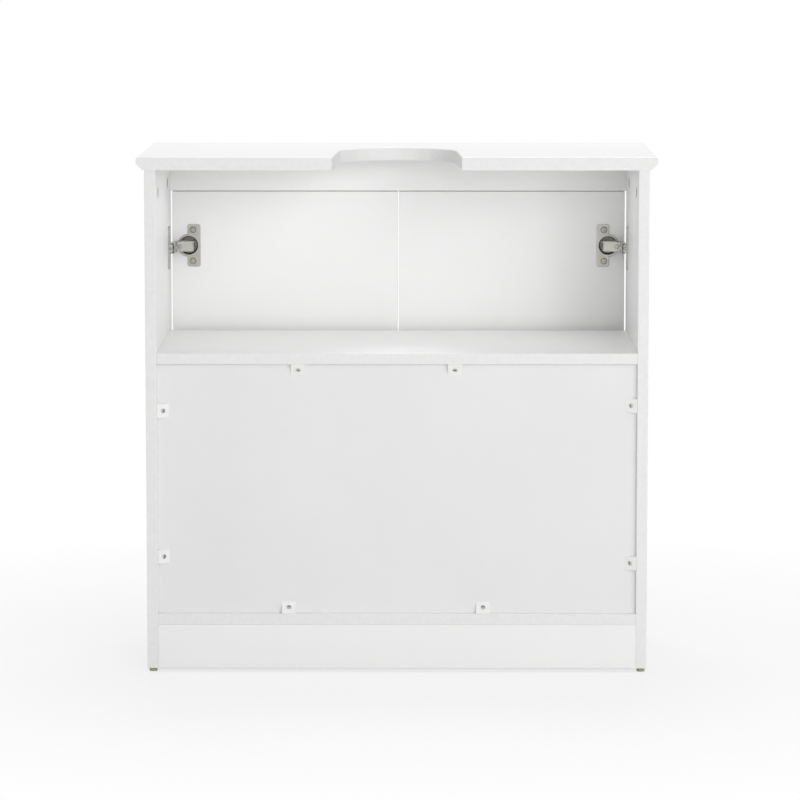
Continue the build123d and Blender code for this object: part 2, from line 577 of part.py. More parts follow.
# ------------------------------------------------------------------ doors and knobs
for side_name, side in SIDES.items():
    low_x, high_x = span(side, DOOR_MID_GAP / 2, DOOR_EDGE_X)
    door_middle = ((low_x + high_x) / 2, (DOOR_Z + DOOR_TOP_Z) / 2)
    field_w = high_x - low_x - 2 * DOOR_FRAME_W
    field_h = DOOR_TOP_Z - DOOR_Z - 2 * DOOR_FRAME_W
    with BuildPart() as door:
        slab((low_x, CASE_FRONT_Y, DOOR_Z), (high_x, DOOR_BACK_Y, DOOR_TOP_Z))
        fillet(door.edges().filter_by(Axis.Z) + door.edges().filter_by(Axis.X), EDGE_R)
        with BuildSketch(Plane.XZ.offset(-CASE_FRONT_Y)) as field_mouth:
            with Locations(door_middle):
                Rectangle(field_w, field_h)
        with BuildSketch(Plane.XZ.offset(-CASE_FRONT_Y - FIELD_DEPTH)) as field_floor:
            with Locations(door_middle):
                Rectangle(field_w - 2 * FIELD_SLOPE_W, field_h - 2 * FIELD_SLOPE_W)
        loft([field_mouth.sketch.face(), field_floor.sketch.face()], mode=Mode.SUBTRACT)
        for z in HINGE_ROWS_Z:
            cup_x = side * (INNER_X - CUP_X)
            bore((cup_x, DOOR_BACK_Y, z), (0, -1, 0), CUP_D + 2 * FIT, CUP_DEPTH + 2 * FIT)
            for screw_z in (z - CUP_SCREWS_APART / 2, z + CUP_SCREWS_APART / 2):
                screw_start = (cup_x - side * CUP_SCREW_SHIFT, DOOR_BACK_Y, screw_z)
                bore(screw_start, (0, -1, 0), SCREW_D + 2 * FIT, SCREW_GRIP + HOLE_PLAY)
        bore((side * KNOB_X, DOOR_BACK_Y, KNOB_Z), (0, -1, 0), KNOB_SCREW_D + 2 * FIT, DOOR_T)
    keep(door, f"{side_name}_door")

    with BuildPart() as knob:
        knob_foot = Plane(origin=(side * KNOB_X, CASE_FRONT_Y, KNOB_Z), x_dir=(1, 0, 0), z_dir=(0, 0, 1))
        with BuildSketch(knob_foot) as half_section:
            with BuildLine():
                head_y = -(KNOB_REACH - KNOB_HEAD_T)
                crown = (0, -KNOB_REACH)
                rim = (KNOB_D / 2, head_y - KNOB_HEAD_T * KNOB_RIM)
                foot = Polyline((0, 0), (KNOB_FOOT_D / 2, 0), (KNOB_FOOT_D / 2, -KNOB_FOOT_T))
                waist = (KNOB_NECK_D / 2, (head_y - KNOB_FOOT_T) / 2)
                neck = Spline(foot @ 1, waist, (KNOB_NECK_D / 2 + KNOB_NECK_FLARE, head_y))
                under = Line(neck @ 1, (KNOB_D / 2 - KNOB_EDGE, head_y))
                edge_middle = (KNOB_D / 2 - KNOB_EDGE_BOW, (head_y + rim[1]) / 2)
                edge = ThreePointArc(under @ 1, edge_middle, rim)
                Spline(edge @ 1, crown, tangents=((0, -1), (-1, 0)))
                Line(crown, foot @ 0)
            make_face()
        revolve(half_section.sketch, axis=Axis((side * KNOB_X, CASE_FRONT_Y, KNOB_Z), (0, 1, 0)))
        bore((side * KNOB_X, CASE_FRONT_Y, KNOB_Z), (0, -1, 0), KNOB_SCREW_D + 2 * FIT, KNOB_BORE_DEPTH)
    keep(knob, f"{side_name}_knob")

    with BuildPart() as knob_screw:
        head_outer = (side * KNOB_X, DOOR_BACK_Y + KNOB_SCREW_HEAD_T, KNOB_Z)
        shank = (KNOB_SCREW_D, DOOR_T + KNOB_SCREW_IN_KNOB)
        turned(head_outer, (0, -1, 0), [(KNOB_SCREW_HEAD_D, KNOB_SCREW_HEAD_T), shank])
        cross_recess(head_outer, (0, -1, 0), KNOB_SCREW_HEAD_D * HEAD_RECESS)
    keep(knob_screw, f"{side_name}_knob_screw")


# ------------------------------------------------------------------ hinges: what turns with the doors
def hinge_cup(side, z):
    """A bowl let into the door, with its screwed flange, in the piece in hand."""
    middle = Plane(origin=(side * (INNER_X - CUP_X), DOOR_BACK_Y, z), x_dir=(-side, 0, 0), z_dir=(0, 1, 0))
    with BuildSketch(middle) as flange:
        with Locations((CUP_FLANGE_SHIFT, 0)):
            RectangleRounded(CUP_FLANGE_W, CUP_FLANGE_L, CUP_FLANGE_R)
        Circle(CUP_RIM_D / 2)
    extrude(flange.sketch, amount=CUP_FLANGE_T)
    turned(middle.origin, (0, -1, 0), [(CUP_D, CUP_DEPTH)])
    bowl_mouth = middle.offset(CUP_FLANGE_T).origin
    bore(bowl_mouth, (0, -1, 0), CUP_BOWL_D, CUP_FLANGE_T + CUP_DEPTH - CUP_FLOOR_T)
    for pin, pin_d in ((CUP_PIN_OUTER, PIN_D), (CUP_PIN_INNER, OPEN_PIN_D)):
        bore(upright(side, pin, z - CUP_PIN_HALF), (0, 0, 1), pin_d + 2 * FIT, 2 * CUP_PIN_HALF)
    for screw_z in (-CUP_SCREWS_APART / 2, CUP_SCREWS_APART / 2):
        screw_mouth = middle.from_local_coords(Vector(CUP_SCREW_SHIFT, screw_z, CUP_FLANGE_T))
        bore(screw_mouth, (0, -1, 0), SCREW_D + 2 * FIT, CUP_FLANGE_T)


def screw_row(points, direction, head_d, head_t, shank_d, shank_l):
    """Pan-head screws, from the outer face of each head, in the piece in hand."""
    for point in points:
        turned(point, direction, [(head_d, head_t), (shank_d, shank_l)])
        cross_recess(point, direction, head_d * HEAD_RECESS)


for side_name, side in SIDES.items():
    for level, z in zip(("lower", "upper"), HINGE_ROWS_Z):
        with BuildPart() as cup:
            hinge_cup(side, z)
        keep(cup, f"{side_name}_{level}_hinge_cup")

    with BuildPart() as cup_screws:
        heads_y = DOOR_BACK_Y + CUP_FLANGE_T + SCREW_HEAD_T
        heads_x = side * (INNER_X - CUP_X - CUP_SCREW_SHIFT)
        heads = [(heads_x, heads_y, z + s * CUP_SCREWS_APART / 2) for z in HINGE_ROWS_Z for s in (-1, 1)]
        screw_row(heads, (0, -1, 0), SCREW_HEAD_D, SCREW_HEAD_T, SCREW_D, CUP_FLANGE_T + SCREW_GRIP)
    keep(cup_screws, f"{side_name}_door_hinge_screws")

    with BuildPart() as cup_pins:
        for z in HINGE_ROWS_Z:
            turned(upright(side, CUP_PIN_OUTER, z - CUP_PIN_HALF), (0, 0, 1), [(PIN_D, 2 * CUP_PIN_HALF)])
            for low_z in (z - CUP_PIN_HALF, z + STUB_NEAR):
                stub = (OPEN_PIN_D, CUP_PIN_HALF - STUB_NEAR)
                turned(upright(side, CUP_PIN_INNER, low_z), (0, 0, 1), [stub])
    keep(cup_pins, f"{side_name}_door_hinge_pins")

    # the links are mirrored plans, so each one is drawn on a level plane at its lower face
    with BuildPart() as outer_links:
        for z in HINGE_ROWS_Z:
            start = plan(side, FIXED_PIN_OUTER)
            end = plan(side, CUP_PIN_OUTER)
            arm_like(Plane.XY.offset(z - OUTER_LINK_HALF), 2 * OUTER_LINK_HALF, start, end, LINK_R, LINK_R)
            for pin in (FIXED_PIN_OUTER, CUP_PIN_OUTER):
                low = upright(side, pin, z - OUTER_LINK_HALF)
                bore(low, (0, 0, 1), PIN_D + 2 * FIT, 2 * OUTER_LINK_HALF)
    keep(outer_links, f"{side_name}_door_outer_links")

    with BuildPart() as inner_links:
        for z in HINGE_ROWS_Z:
            for low_z in (z - INNER_LINK_FAR, z + INNER_LINK_NEAR):
                start = plan(side, FIXED_PIN_INNER)
                end = plan(side, CUP_PIN_INNER)
                plate_t = INNER_LINK_FAR - INNER_LINK_NEAR
                arm_like(Plane.XY.offset(low_z), plate_t, start, end, LINK_R, LINK_R)
                bore(upright(side, FIXED_PIN_INNER, low_z), (0, 0, 1), PIN_D + 2 * FIT, plate_t)
                open_hole_d = OPEN_PIN_D + 2 * OPEN_PIN_PLAY
                bore(upright(side, CUP_PIN_INNER, low_z), (0, 0, 1), open_hole_d, plate_t)
    keep(inner_links, f"{side_name}_door_inner_links")


# ------------------------------------------------------------------ hinges: what stays on the side panels
BLOCK_REAR_Y = PLATE_MID_Y + PLATE_BLOCK_D / 2
CRANK_SLOPE = (ARM_BEND_Y - ARM_CRANK[0][1]) / (ARM_CRANK[0][0] - ARM_TOP_X)
SIDE_SCREW_SEAT_Y = ARM_BEND_Y - (SIDE_SCREW_X - ARM_TOP_X) * CRANK_SLOPE  # plate's rear face at the screw
SIDE_SCREW_HOLE = ARM_BEND_Y - SIDE_SCREW_SEAT_Y + ARM_WALL + SIDE_SCREW_D * CRANK_SLOPE


def hinge_arm(side, z):
    """A cranked channel: a web and two cheeks that reach down into the cup, in the piece in hand."""
    low = Plane.XY.offset(z - ARM_HALF)
    straight = ((ARM_FOOT_X, ARM_BACK_Y), (ARM_TOP_X, ARM_BACK_Y), (ARM_TOP_X, ARM_BEND_Y))
    with BuildSketch(low) as cheek:
        with BuildLine():
            Polyline(*[plan(side, place) for place in straight + ARM_CRANK], close=True)
        make_face()
    extrude(cheek.sketch, amount=2 * ARM_HALF)
    neck = ARM_NECK + (FIXED_PIN_OUTER, FIXED_PIN_INNER)
    for start, end in zip(neck, neck[1:]):
        arm_like(low, 2 * ARM_HALF, plan(side, start), plan(side, end), ARM_END_R, ARM_END_R)
    web_x = ARM_TOP_X - ARM_WALL
    crank_x = max(FIXED_PIN_OUTER[0], FIXED_PIN_INNER[0], ARM_CRANK[0][0]) + ARM_END_R + PAST
    far_y = min(FIXED_PIN_OUTER[1], FIXED_PIN_INNER[1]) - ARM_END_R - PAST
    hollow = (
        (ARM_FOOT_X - PAST, ARM_BACK_Y + PAST),
        (web_x, ARM_BACK_Y + PAST),
        (web_x, ARM_BEND_Y - ARM_WALL),
        (ARM_CRANK[0][0], ARM_CRANK[0][1] - ARM_WALL),
        (crank_x, ARM_CRANK[0][1] - ARM_WALL),
        (crank_x, far_y),
        (ARM_FOOT_X - PAST, far_y),
    )
    with BuildSketch(Plane.XY.offset(z - ARM_CHEEK_NEAR)) as channel:
        with BuildLine():
            Polyline(*[plan(side, place) for place in hollow], close=True)
        make_face()
    extrude(channel.sketch, amount=2 * ARM_CHEEK_NEAR, mode=Mode.SUBTRACT)
    for pin in (FIXED_PIN_OUTER, FIXED_PIN_INNER):
        bore(upright(side, pin, z - ARM_HALF), (0, 0, 1), PIN_D + 2 * FIT, 2 * ARM_HALF)
    straight_hollow = (
        (ARM_FOOT_X - PAST, ARM_BACK_Y + PAST),
        (web_x, ARM_BACK_Y + PAST),
        (web_x, ARM_THIN_FROM_Y),
        (ARM_FOOT_X - PAST, ARM_THIN_FROM_Y),
    )
    with BuildSketch(Plane.XY.offset(z - ARM_THIN_NEAR)) as straight_channel:
        with BuildLine():
            Polyline(*[plan(side, place) for place in straight_hollow], close=True)
        make_face()
    extrude(straight_channel.sketch, amount=2 * ARM_THIN_NEAR, mode=Mode.SUBTRACT)
    bore(upright(side, (ARM_TOP_X, ARM_SCREW_Y), z), (side, 0, 0), ARM_SCREW_D + 2 * FIT, ARM_WALL)
    side_screw_mouth = upright(side, (SIDE_SCREW_X, ARM_BEND_Y), z)
    bore(side_screw_mouth, (0, -1, 0), SIDE_SCREW_D + 2 * FIT, SIDE_SCREW_HOLE)


def mounting_plate(side, z):
    """A winged plate on the side panel with the block that carries the arm, in the piece in hand."""
    wing_face = Plane(origin=upright(side, (0, PLATE_MID_Y), z), x_dir=(0, 1, 0), z_dir=(-side, 0, 0))
    with BuildSketch(wing_face) as wings:
        RectangleRounded(PLATE_WING_W, PLATE_WING_L, PLATE_WING_R)
    extrude(wings.sketch, amount=PLATE_WING_T)
    with BuildSketch(wing_face) as block:
        Rectangle(PLATE_BLOCK_D, 2 * PLATE_BLOCK_HALF)
    extrude(block.sketch, amount=PLATE_BLOCK_TOP_X)
    for screw_z in (-PLATE_SCREWS_APART / 2, PLATE_SCREWS_APART / 2):
        screw_mouth = upright(side, (PLATE_WING_T, PLATE_MID_Y), z + screw_z)
        bore(screw_mouth, (side, 0, 0), PLATE_SCREW_D + 2 * FIT, PLATE_WING_T)
        bore(screw_mouth, (side, 0, 0), PLATE_SCREW_HEAD_D + HEAD_PLAY, PLATE_SCREW_SUNK)
    block_mouth = upright(side, (PLATE_BLOCK_TOP_X, ARM_SCREW_Y), z)
    bore(block_mouth, (side, 0, 0), ARM_SCREW_D + 2 * FIT, ARM_SCREW_IN_BLOCK + HOLE_PLAY)
    block_end = upright(side, (DEPTH_SCREW_X, BLOCK_REAR_Y), z)
    bore(block_end, (0, -1, 0), DEPTH_SCREW_D + 2 * FIT, DEPTH_SCREW_SUNK + DEPTH_SCREW_L + HOLE_PLAY)


for side_name, side in SIDES.items():
    for level, z in zip(("lower", "upper"), HINGE_ROWS_Z):
        with BuildPart() as arm:
            hinge_arm(side, z)
        keep(arm, f"{side_name}_{level}_hinge_arm")
        with BuildPart() as plate:
            mounting_plate(side, z)
        keep(plate, f"{side_name}_{level}_mounting_plate")

HINGES = [(side, z) for side in SIDES.values() for z in HINGE_ROWS_Z]
with BuildPart() as arm_pins:
    for side, z in HINGES:
        turned(upright(side, FIXED_PIN_OUTER, z - ARM_HALF), (0, 0, 1), [(PIN_D, 2 * ARM_HALF)])
        for low_z in (z - ARM_HALF, z + STUB_NEAR):
            turned(upright(side, FIXED_PIN_INNER, low_z), (0, 0, 1), [(PIN_D, ARM_HALF - STUB_NEAR)])
keep(arm_pins, "hinge_arm_pins")

with BuildPart() as plate_screws:
    for side, z in HINGES:
        outer_x = PLATE_WING_T - PLATE_SCREW_SUNK + PLATE_SCREW_HEAD_T
        heads = [upright(side, (outer_x, PLATE_MID_Y), z + s * PLATE_SCREWS_APART / 2) for s in (-1, 1)]
        shank_l = PLATE_WING_T - PLATE_SCREW_SUNK + PLATE_SCREW_GRIP
        screw_row(heads, (side, 0, 0), PLATE_SCREW_HEAD_D, PLATE_SCREW_HEAD_T, PLATE_SCREW_D, shank_l)
keep(plate_screws, "mounting_plate_screws")

with BuildPart() as arm_screws:
    for side, z in HINGES:
        head = upright(side, (ARM_TOP_X + ARM_SCREW_HEAD_T, ARM_SCREW_Y), z)
        shank_l = ARM_TOP_X - PLATE_BLOCK_TOP_X + ARM_SCREW_IN_BLOCK
        screw_row([head], (side, 0, 0), ARM_SCREW_HEAD_D, ARM_SCREW_HEAD_T, ARM_SCREW_D, shank_l)
keep(arm_screws, "hinge_arm_screws")


def headless_screws(name, place, diameter, length):
    """A short screw without a head in each hinge, its recess to the rear."""
    with BuildPart() as short_screws:
        for side, z in HINGES:
            outer = upright(side, place, z)
            turned(outer, (0, -1, 0), [(diameter, length)])
            cross_recess(outer, (0, -1, 0), diameter * SHORT_SCREW_RECESS)
    keep(short_screws, name)


side_screw_end = (SIDE_SCREW_X, SIDE_SCREW_SEAT_Y + SIDE_SCREW_PROUD)
headless_screws("hinge_side_screws", side_screw_end, SIDE_SCREW_D, SIDE_SCREW_L)
depth_screw_end = (DEPTH_SCREW_X, BLOCK_REAR_Y - DEPTH_SCREW_SUNK)
headless_screws("hinge_depth_screws", depth_screw_end, DEPTH_SCREW_D, DEPTH_SCREW_L)
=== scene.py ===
import json
import math

import bmesh
import bpy
from mathutils import Matrix, Vector


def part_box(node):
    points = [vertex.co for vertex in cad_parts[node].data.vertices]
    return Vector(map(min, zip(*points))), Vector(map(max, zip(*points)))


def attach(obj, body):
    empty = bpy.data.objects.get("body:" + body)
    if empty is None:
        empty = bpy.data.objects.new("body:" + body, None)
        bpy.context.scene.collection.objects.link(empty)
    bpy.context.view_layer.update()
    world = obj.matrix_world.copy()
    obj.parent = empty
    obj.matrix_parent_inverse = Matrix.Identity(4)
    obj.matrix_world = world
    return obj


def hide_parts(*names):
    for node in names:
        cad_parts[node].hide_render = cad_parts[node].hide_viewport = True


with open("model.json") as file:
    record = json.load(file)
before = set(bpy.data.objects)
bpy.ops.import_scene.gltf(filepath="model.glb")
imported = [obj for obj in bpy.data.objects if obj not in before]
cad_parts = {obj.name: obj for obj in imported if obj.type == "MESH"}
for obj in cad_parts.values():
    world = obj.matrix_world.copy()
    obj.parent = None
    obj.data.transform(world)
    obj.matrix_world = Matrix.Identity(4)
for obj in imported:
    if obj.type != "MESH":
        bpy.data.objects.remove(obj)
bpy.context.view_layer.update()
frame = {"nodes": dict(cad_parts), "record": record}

# Shapes are drawn in millimetres and come down to metres when they are put in place.
MM = 0.001
SIDES = ("left", "right")
LEVELS = ("lower", "upper")

# ------------------------------------------------------------------ planes of the cabinet, from its boards
INNER_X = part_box("right_side_panel")[0][0] / MM
DOOR_BACK_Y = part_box("right_door")[1][1] / MM
DOOR_FRONT_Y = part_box("right_door")[0][1] / MM
BACK_PANEL_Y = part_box("back_panel")[1][1] / MM
SHELF_UNDER_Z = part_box("middle_shelf")[0][2] / MM
BOTTOM_TOP_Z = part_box("bottom_board")[1][2] / MM
HINGE_Z = {}
for level in LEVELS:
    low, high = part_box(f"right_{level}_hinge_cup")
    HINGE_Z[level] = (low[2] + high[2]) / 2 / MM


def node_corners(node):
    """A node's lowest and highest corners, in millimetres."""
    return [Vector(corner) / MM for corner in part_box(node)]


# ------------------------------------------------------------------ shaping
MERGE = 0.0005  # points of a turned piece closer than this are one


def spun(outline, steps=48):
    """A turned piece: (radius, height) points from the axis round to the axis again."""
    shape = bmesh.new()
    corners = [shape.verts.new((radius, 0, height)) for radius, height in outline]
    for first, second in zip(corners, corners[1:]):
        shape.edges.new((first, second))
    bmesh.ops.spin(
        shape,
        geom=shape.verts[:] + shape.edges[:],
        cent=(0, 0, 0),
        axis=(0, 0, 1),
        angle=math.tau,
        steps=steps,
        use_merge=True,
    )
    bmesh.ops.remove_doubles(shape, verts=shape.verts, dist=MERGE)
    bmesh.ops.recalc_face_normals(shape, faces=shape.faces)
    return shape


def peg(radius, low, high, steps=40):
    """A plain round peg between two heights."""
    return spun([(0, low), (radius, low), (radius, high), (0, high)], steps)


def board(size, middle=(0, 0, 0), taper=1.0):
    """A block round a middle; its lower face is narrower where it tapers."""
    shape = bmesh.new()
    bmesh.ops.create_cube(shape, size=1.0)
    low = [corner for corner in shape.verts if corner.co.z < 0]
    bmesh.ops.scale(shape, vec=(taper, taper, 1), verts=low)
    bmesh.ops.scale(shape, vec=size, verts=shape.verts)
    bmesh.ops.translate(shape, vec=middle, verts=shape.verts)
    return shape


def pulled_up(shape, thickness):
    """A flat shape drawn up along Z into a solid."""
    pulled = bmesh.ops.extrude_face_region(shape, geom=shape.faces[:])
    lifted = [item for item in pulled["geom"] if isinstance(item, bmesh.types.BMVert)]
    bmesh.ops.translate(shape, vec=(0, 0, thickness), verts=lifted)
    bmesh.ops.recalc_face_normals(shape, faces=shape.faces)
    return shape


def sheet_blank(corners, thickness):
    """A blank cut from sheet: corners in X and Y."""
    shape = bmesh.new()
    shape.faces.new([shape.verts.new((x, y, 0)) for x, y in corners])
    return pulled_up(shape, thickness)


def eased(shape, geometry, width, segments, affect="EDGES"):
    """Edges or corners rounded over."""
    bmesh.ops.bevel(
        shape,
        geom=geometry,
        offset=width,
        offset_type="OFFSET",
        segments=segments,
        profile=0.5,
        affect=affect,
        clamp_overlap=True,
        material=-1,
    )
    return shape


def as_object(shape):
    mesh = bpy.data.meshes.new("blank")
    shape.to_mesh(mesh)
    shape.free()
    blank = bpy.data.objects.new("blank", mesh)
    bpy.context.scene.collection.objects.link(blank)
    return blank


def joined(first, second, how="UNION"):
    """Two closed shapes made one, the second cut out of the first, or what both share."""
    kept, tool = as_object(first), as_object(second)
    step = kept.modifiers.new("join", "BOOLEAN")
    step.object = tool
    step.operation = how
    step.solver = "EXACT"
    bpy.context.view_layer.update()
    result = bmesh.new()
    result.from_mesh(kept.evaluated_get(bpy.context.evaluated_depsgraph_get()).data)
    for blank in (kept, tool):
        mesh = blank.data
        bpy.data.objects.remove(blank)
        bpy.data.meshes.remove(mesh)
    return result


def cut(first, second):
    return joined(first, second, "DIFFERENCE")


def moved(shape, matrix):
    bmesh.ops.transform(shape, matrix=matrix, verts=shape.verts)
    return shape


def gathered(shapes):
    """Separate shapes of one piece, such as a set of screws."""
    whole = bmesh.new()
    for shape in shapes:
        mesh = bpy.data.meshes.new("part")
        shape.to_mesh(mesh)
        shape.free()
        whole.from_mesh(mesh)
        bpy.data.meshes.remove(mesh)
    return whole


def fitted(name, shape, finish, body, node, smooth=38.0):
    """Brings a finished shape down to metres and hangs it on its body, in place of its node's plain solids."""
    bmesh.ops.scale(shape, vec=(MM, MM, MM), verts=shape.verts)
    bmesh.ops.recalc_face_normals(shape, faces=shape.faces)
    mesh = bpy.data.meshes.new(name)
    shape.to_mesh(mesh)
    shape.free()
    if "custom_normal" in mesh.attributes:  # left over from a board's plain solid
        mesh.attributes.remove(mesh.attributes["custom_normal"])
    mesh.shade_smooth()
    mesh.set_sharp_from_angle(angle=math.radians(smooth))
    mesh.materials.append(finish)
    piece = bpy.data.objects.new(name, mesh)
    bpy.context.scene.collection.objects.link(piece)
    even = piece.modifiers.new("even_normals", "WEIGHTED_NORMAL")
    even.mode = "FACE_AREA"
    even.weight = 90
    even.keep_sharp = True
    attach(piece, body)
    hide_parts(node)


# ------------------------------------------------------------------ steps of a finish
def new_finish(name, roughness, metallic=0.0, **sockets):
    """A finish with a plain shader, and its tree and shader to add to."""
    finish = bpy.data.materials.new(name)
    finish.use_nodes = True
    tree = finish.node_tree
    shader = tree.nodes["Principled BSDF"]
    shader.inputs["Roughness"].default_value = roughness
    shader.inputs["Metallic"].default_value = metallic
    for socket, value in sockets.items():
        shader.inputs[socket.replace("_", " ")].default_value = value
    return finish, tree, shader


def pattern(tree, scale, detail=3.0, stretch=(1, 1, 1), roughness=0.5):
    """Soft random blotches in the piece's own space; stretch draws them out along an axis."""
    place = tree.nodes.new("ShaderNodeTexCoord")
    mapping = tree.nodes.new("ShaderNodeMapping")
    mapping.inputs["Scale"].default_value = stretch
    noise = tree.nodes.new("ShaderNodeTexNoise")
    noise.inputs["Scale"].default_value = scale
    noise.inputs["Detail"].default_value = detail
    noise.inputs["Roughness"].default_value = roughness
    tree.links.new(place.outputs["Object"], mapping.inputs["Vector"])
    tree.links.new(mapping.outputs["Vector"], noise.inputs["Vector"])
    return noise.outputs["Fac"]


def graded(tree, value, dark, light, start=0.3, end=0.7):
    """A value turned into a colour between two tones."""
    ramp = tree.nodes.new("ShaderNodeValToRGB")
    for stone, place, colour in zip(ramp.color_ramp.elements, (start, end), (dark, light)):
        stone.position = place
        stone.color = (*colour, 1.0)
    tree.links.new(value, ramp.inputs["Fac"])
    return ramp.outputs["Color"]


def spread(tree, value, low, high, start=0.0, end=1.0):
    """A value brought from one range to another, and held inside it."""
    reach = tree.nodes.new("ShaderNodeMapRange")
    for socket, number in (("From Min", start), ("From Max", end), ("To Min", low), ("To Max", high)):
        reach.inputs[socket].default_value = number
    tree.links.new(value, reach.inputs["Value"])
    return reach.outputs["Result"]


def reckoned(tree, operation, *values):
    """A step of arithmetic on values and plain numbers."""
    step = tree.nodes.new("ShaderNodeMath")
    step.operation = operation
    for socket, value in zip(step.inputs, values):
        if isinstance(value, bpy.types.NodeSocket):
            tree.links.new(value, socket)
        else:
            socket.default_value = value
    return step.outputs["Value"]


def blended(tree, mask, first, second):
    """Two colours mixed by a mask; the second may be one plain tone."""
    mix = tree.nodes.new("ShaderNodeMix")
    mix.data_type = "RGBA"
    tree.links.new(mask, mix.inputs["Factor"])
    for name, colour in (("A", first), ("B", second)):
        socket = next(s for s in mix.inputs if s.name == name and s.type == "RGBA")
        if isinstance(colour, bpy.types.NodeSocket):
            tree.links.new(colour, socket)
        else:
            socket.default_value = (*colour, 1.0)
    return next(s for s in mix.outputs if s.type == "RGBA")


def relief(tree, shader, layers):
    """Bumps laid over each other: (height value, strength, distance in metres)."""
    under = None
    for value, strength, distance in layers:
        bump = tree.nodes.new("ShaderNodeBump")
        bump.inputs["Strength"].default_value = strength
        bump.inputs["Distance"].default_value = distance
        tree.links.new(value, bump.inputs["Height"])
        if under is not None:
            tree.links.new(under, bump.inputs["Normal"])
        under = bump.outputs["Normal"]
    tree.links.new(under, shader.inputs["Normal"])


EDGE_FROM, EDGE_FULL = 0.9, 0.3  # how much a surface still looks the way of its board's faces


def sawn_edges(tree, axis):
    """1 on the sawn edges of a board whose faces look along an axis, 0 on its faces."""
    place = tree.nodes.new("ShaderNodeTexCoord")
    split = tree.nodes.new("ShaderNodeSeparateXYZ")
    tree.links.new(place.outputs["Normal"], split.inputs["Vector"])
    return spread(tree, reckoned(tree, "ABSOLUTE", split.outputs[axis]), 0.0, 1.0, EDGE_FROM, EDGE_FULL)


# ------------------------------------------------------------------ finishes
# Sawn edge tones: darker than the faces, partly from the paint soaking into the fibreboard, partly painted shade on
# the board edges.
SAWN_SHADED_DARK, SAWN_SHADED_LIGHT = (0.800, 0.799, 0.796), (0.832, 0.831, 0.828)
SAWN_DULLER = 0.14  # added to the roughness on a sawn edge
ALONG_X, ALONG_Z = (0.12, 1, 1), (1, 1, 0.12)  # which way a pattern is drawn out


def white_lacquer(name, face_axis, grain, dark=0.900, light=0.925):
    """Sprayed white paint on fibreboard: even on the faces; on the sawn edges a little rougher where the edge drank
    it, and darker, partly from the paint drinking in and partly as painted shade.
    """
    finish, tree, shader = new_finish(name, 0.36, Specular_IOR_Level=0.45)
    warm = 0.003  # the paint's blue is lower by this
    face = graded(tree, pattern(tree, 5.0, 4.0), (dark, dark, dark - warm), (light, light, light - warm))
    # the sawn edges' darker tone is partly painted shade
    edge = graded(tree, pattern(tree, 220.0, 2.0), SAWN_SHADED_DARK, SAWN_SHADED_LIGHT)
    sawn = sawn_edges(tree, face_axis)
    tree.links.new(blended(tree, sawn, face, edge), shader.inputs["Base Color"])
    sheen = spread(tree, pattern(tree, 14.0, 5.0), 0.30, 0.42)
    tree.links.new(reckoned(tree, "MULTIPLY_ADD", sawn, SAWN_DULLER, sheen), shader.inputs["Roughness"])
    swell = pattern(tree, 60.0, 2.0)
    orange_peel = pattern(tree, 520.0, 2.0)
    fibres = pattern(tree, 900.0, 3.0, stretch=grain)
    relief(tree, shader, [(swell, 0.05, 0.002), (orange_peel, 0.10, 0.0004), (fibres, 0.05, 0.0002)])
    return finish


def hardboard():
    """Thin hardboard with a white face: satin, with a faint pressed grain."""
    finish, tree, shader = new_finish("white_hardboard", 0.5, Specular_IOR_Level=0.35)
    tone = graded(tree, pattern(tree, 7.0, 4.0), (0.795, 0.795, 0.797), (0.820, 0.820, 0.822))
    tree.links.new(tone, shader.inputs["Base Color"])
    tree.links.new(spread(tree, pattern(tree, 30.0, 4.0), 0.44, 0.56), shader.inputs["Roughness"])
    slack, pressed = pattern(tree, 3.0, 1.0), pattern(tree, 1300.0, 2.0)
    relief(tree, shader, [(slack, 0.08, 0.02), (pressed, 0.12, 0.0002)])
    return finish


def moulded_plastic(name, dark, light, roughness, through=0.0):
    """Injection-moulded plastic, softly uneven, with light going a little way in."""
    finish, tree, shader = new_finish(name, roughness, Specular_IOR_Level=0.5, Subsurface_Weight=through)
    shader.inputs["Subsurface Radius"].default_value = (0.002, 0.002, 0.0018)
    tree.links.new(graded(tree, pattern(tree, 90.0), dark, light), shader.inputs["Base Color"])
    sheen = spread(tree, pattern(tree, 160.0), roughness - 0.06, roughness + 0.08)
    tree.links.new(sheen, shader.inputs["Roughness"])
    relief(tree, shader, [(pattern(tree, 2200.0, 2.0), 0.12, 0.0001)])
    return finish


SPECKS_FROM, SPECKS_FULL = 0.542857, 1.114286  # only a pattern's peaks show as specks, and none in full


def plated(name, dark, light, worn, roughness, depth, brush=(1, 1, 1)):
    """Plated metal: fine rolling or casting marks, a few handling smudges and small dull specks."""
    finish, tree, shader = new_finish(name, roughness, 1.0)
    tone = graded(tree, pattern(tree, 70.0, 5.0), dark, light, start=0.25, end=0.75)
    specks = spread(tree, pattern(tree, 1400.0, 2.0, roughness=0.8), 0.0, 1.0, SPECKS_FROM, SPECKS_FULL)
    tree.links.new(blended(tree, specks, tone, worn), shader.inputs["Base Color"])
    sheen = spread(tree, pattern(tree, 240.0, 4.0, stretch=brush), roughness - 0.07, roughness + 0.10)
    tree.links.new(sheen, shader.inputs["Roughness"])
    marks, dents = pattern(tree, 1800.0, 3.0, stretch=brush), pattern(tree, 130.0, 2.0)
    relief(tree, shader, [(marks, depth, 0.0001), (dents, 0.10, 0.0003)])
    return finish


def beech():
    """Pale beech with its grain across the cabinet."""
    finish, tree, shader = new_finish("turned_beech", 0.6)
    grain = pattern(tree, 340.0, 4.0, stretch=ALONG_X)
    tree.links.new(graded(tree, grain, (0.50, 0.33, 0.19), (0.67, 0.49, 0.31)), shader.inputs["Base Color"])
    relief(tree, shader, [(grain, 0.3, 0.0003)])
    return finish
